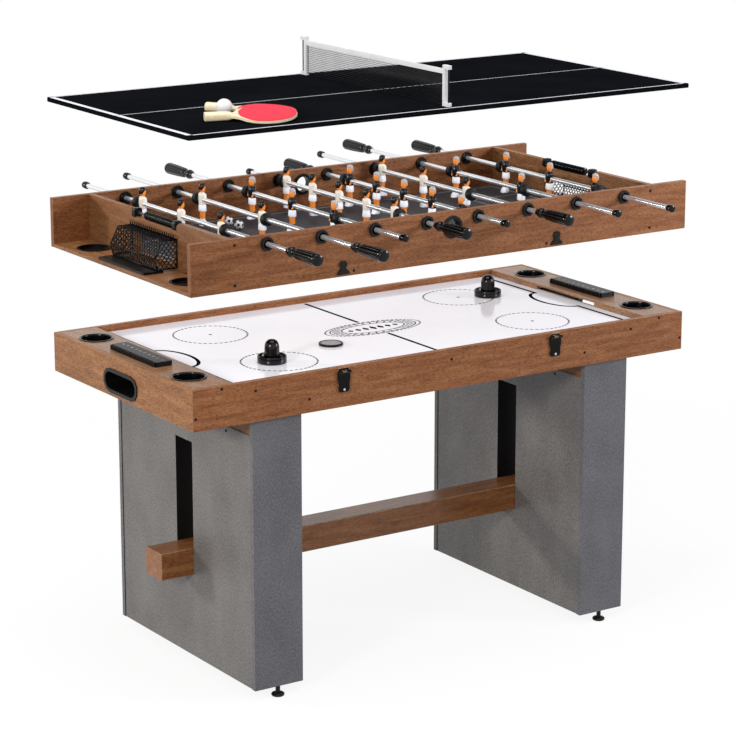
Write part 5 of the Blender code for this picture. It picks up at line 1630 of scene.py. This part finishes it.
@dataclass
class Studio:
    """Plain pale floor, soft lamps, and the photograph's view."""

    camera_place: Point = (-3.9297, -5.8992, 2.5232)
    yaw: float = 33.561
    pitch: float = 14.346
    lens: float = 134.06
    sky: float = 0.5
    floor_half: float = 30.0
    floor_glow: float = 0.88
    shadow_reach: Pair = (0.9, 3.2)
    warm: str = "#fff8ee"
    cool: str = "#f3f6ff"
    rods_key: float = 170.0

    def build(self) -> None:
        """Build the floor, the lamps, the world and the camera."""
        self.floor()
        self.world()
        for unit, middle, left, left_size, behind, front, top in (
                ("hockey", 0.6, 110.0, 0.7, 85.0, 80.0, 63.0),
                ("football", 1.1, 45.0, 1.6, 80.0, 145.0, 64.0),
                ("tennis", 1.45, 120.0, 1.6, 30.0, 40.0, 55.0)):
            for name, place, size, watts, tint in (
                    ("left", (-4.3, -2.3, middle + 1.5), left_size, left, self.warm),
                    ("back", (-3.4, 3.0, middle + 1.1), 0.5, behind, self.warm),
                    ("front", (3.2, -2.8, middle + 1.2), 1.2, front, self.cool),
                    ("top", (-0.4, -0.6, middle + 3.4), 2.4, top, "#ffffff")):
                Lamp(f"{unit}_{name}_lamp", unit, place, size, watts, middle, tint,
                     name != "back" or unit == "football").hang()
        Lamp("rods_key_lamp", "rods", (-3.6, -3.6, 3.3), 0.5, self.rods_key, 1.15, self.cool).hang()
        self.view()

    def floor(self) -> None:
        """White floor that keeps the table's soft shadow and clears to pure white further out."""
        shape, half = Shape(), self.floor_half
        shape.slab([(-half, -half), (half, -half), (half, half), (-half, half)], -0.02, -0.2 * MM)
        mat = bpy.data.materials.new("studio_floor")
        mat.use_nodes = True
        tree = mat.node_tree
        shader = tree.nodes["Principled BSDF"]
        pale = add_node(tree, "MixRGB", {"Fac": self.seen(tree), "Color1": linear("#7c7c7c"),
                                         "Color2": linear("#fbfbfb")})
        feed(tree, shader, {"Base Color": pale.outputs["Color"], "Roughness": 0.9})
        white = add_node(tree, "Emission", {"Color": (1.0, 1.0, 1.0, 1.0), "Strength": 1.0})
        coord = add_node(tree, "TexCoord")
        away = add_node(tree, "VectorMath", {0: coord.outputs["Object"]}, operation="LENGTH")
        near, far = self.shadow_reach
        glow = add_node(tree, "MapRange", {"Value": away.outputs["Value"], "From Min": near, "From Max": far,
                                           "To Min": self.floor_glow, "To Max": 1.0},
                        interpolation_type="SMOOTHSTEP")
        share = add_node(tree, "Math", {0: self.seen(tree), 1: glow.outputs["Result"]},
                         operation="MULTIPLY")
        mix = add_node(tree, "MixShader", {0: share.outputs[0], 1: shader.outputs[0], 2: white.outputs[0]})
        tree.links.new(mix.outputs[0], tree.nodes["Material Output"].inputs["Surface"])
        mesh = bpy.data.meshes.new("floor")
        shape.bm.to_mesh(mesh)
        shape.bm.free()
        mesh.materials.append(mat)
        floor = show(bpy.data.objects.new("floor", mesh))
        light("hockey").objects.link(floor)

    @staticmethod
    def seen(tree: Tree) -> Socket:
        """Tell the camera's rays, straight, mirrored or refracted, from the rest.

        Args:
            tree: the node tree to add to.

        Returns:
            1 for the camera's rays and 0 for the rest.
        """
        path = add_node(tree, "LightPath")
        seen = add_node(tree, "Math", {0: path.outputs["Is Camera Ray"], 1: path.outputs["Is Glossy Ray"]},
                        operation="MAXIMUM")
        return add_node(tree, "Math", {0: seen.outputs[0], 1: path.outputs["Is Transmission Ray"]},
                        operation="MAXIMUM").outputs[0]

    def world(self) -> None:
        """White to the camera and in reflections, softer as a light."""
        world = bpy.data.worlds.new("studio_world")
        bpy.context.scene.world = world
        world.use_nodes = True
        tree = world.node_tree
        tree.nodes.clear()
        soft = add_node(tree, "Background", {"Color": linear("#f4f6ff"), "Strength": self.sky})
        white = add_node(tree, "Background", {"Color": (1.0, 1.0, 1.0, 1.0), "Strength": 1.0})
        mix = add_node(tree, "MixShader", {0: self.seen(tree), 1: soft.outputs[0], 2: white.outputs[0]})
        add_node(tree, "OutputWorld", {"Surface": mix.outputs[0]})

    def view(self) -> None:
        """Stand the camera where the photograph was taken from."""
        data = bpy.data.cameras.new("camera")
        data.lens = self.lens
        data.sensor_width = 36.0
        data.clip_end = 200.0
        camera = show(bpy.data.objects.new("camera", data))
        camera.location = self.camera_place
        camera.rotation_euler = (math.radians(90 - self.pitch), 0.0, math.radians(-self.yaw))
        bpy.context.scene.camera = camera


THREE = ((-0.200, 0.0, 0.200), 0.648, 0.523)
TWO = ((-0.150, 0.150), 0.705, 0.568)
FIVE = ((-0.260, -0.130, 0.0, 0.130, 0.260), 0.580, 0.460)
RODS = (
    ("rod_1_keeper", THREE, Side.FRONT, 0.053), ("rod_2_defence", TWO, Side.FRONT, 0.066),
    ("rod_3_attack", THREE, Side.BACK, 0.024), ("rod_4_midfield", FIVE, Side.FRONT, 0.043),
    ("rod_5_midfield", FIVE, Side.BACK, -0.029), ("rod_6_attack", THREE, Side.FRONT, 0.108),
    ("rod_7_defence", TWO, Side.BACK, 0.0265), ("rod_8_keeper", THREE, Side.BACK, -0.042),
)


def main() -> None:
    """Build and dress the table, then the studio round it."""
    logging.basicConfig(level=logging.INFO, format="%(name)s: %(message)s")
    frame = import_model()
    bpy.context.scene.view_settings.view_transform = "Standard"
    nodes = frame["nodes"]
    HockeyUnit(nodes).build()
    LooseHockey(nodes).build()
    Latches(nodes).build()
    FootballTray(nodes, "football_unit").build()
    for number, (node, (figures, handle_reach, cap_reach), side, push) in enumerate(RODS, 1):
        PlayerRod(nodes, "football_unit", number=number, node=node, figures=figures,
                  handle_reach=handle_reach, cap_reach=cap_reach, side=side, push=push).build()
    TennisUnit(nodes, "tennis_unit").build()
    Studio().build()


if __name__ == "__main__":
    main()
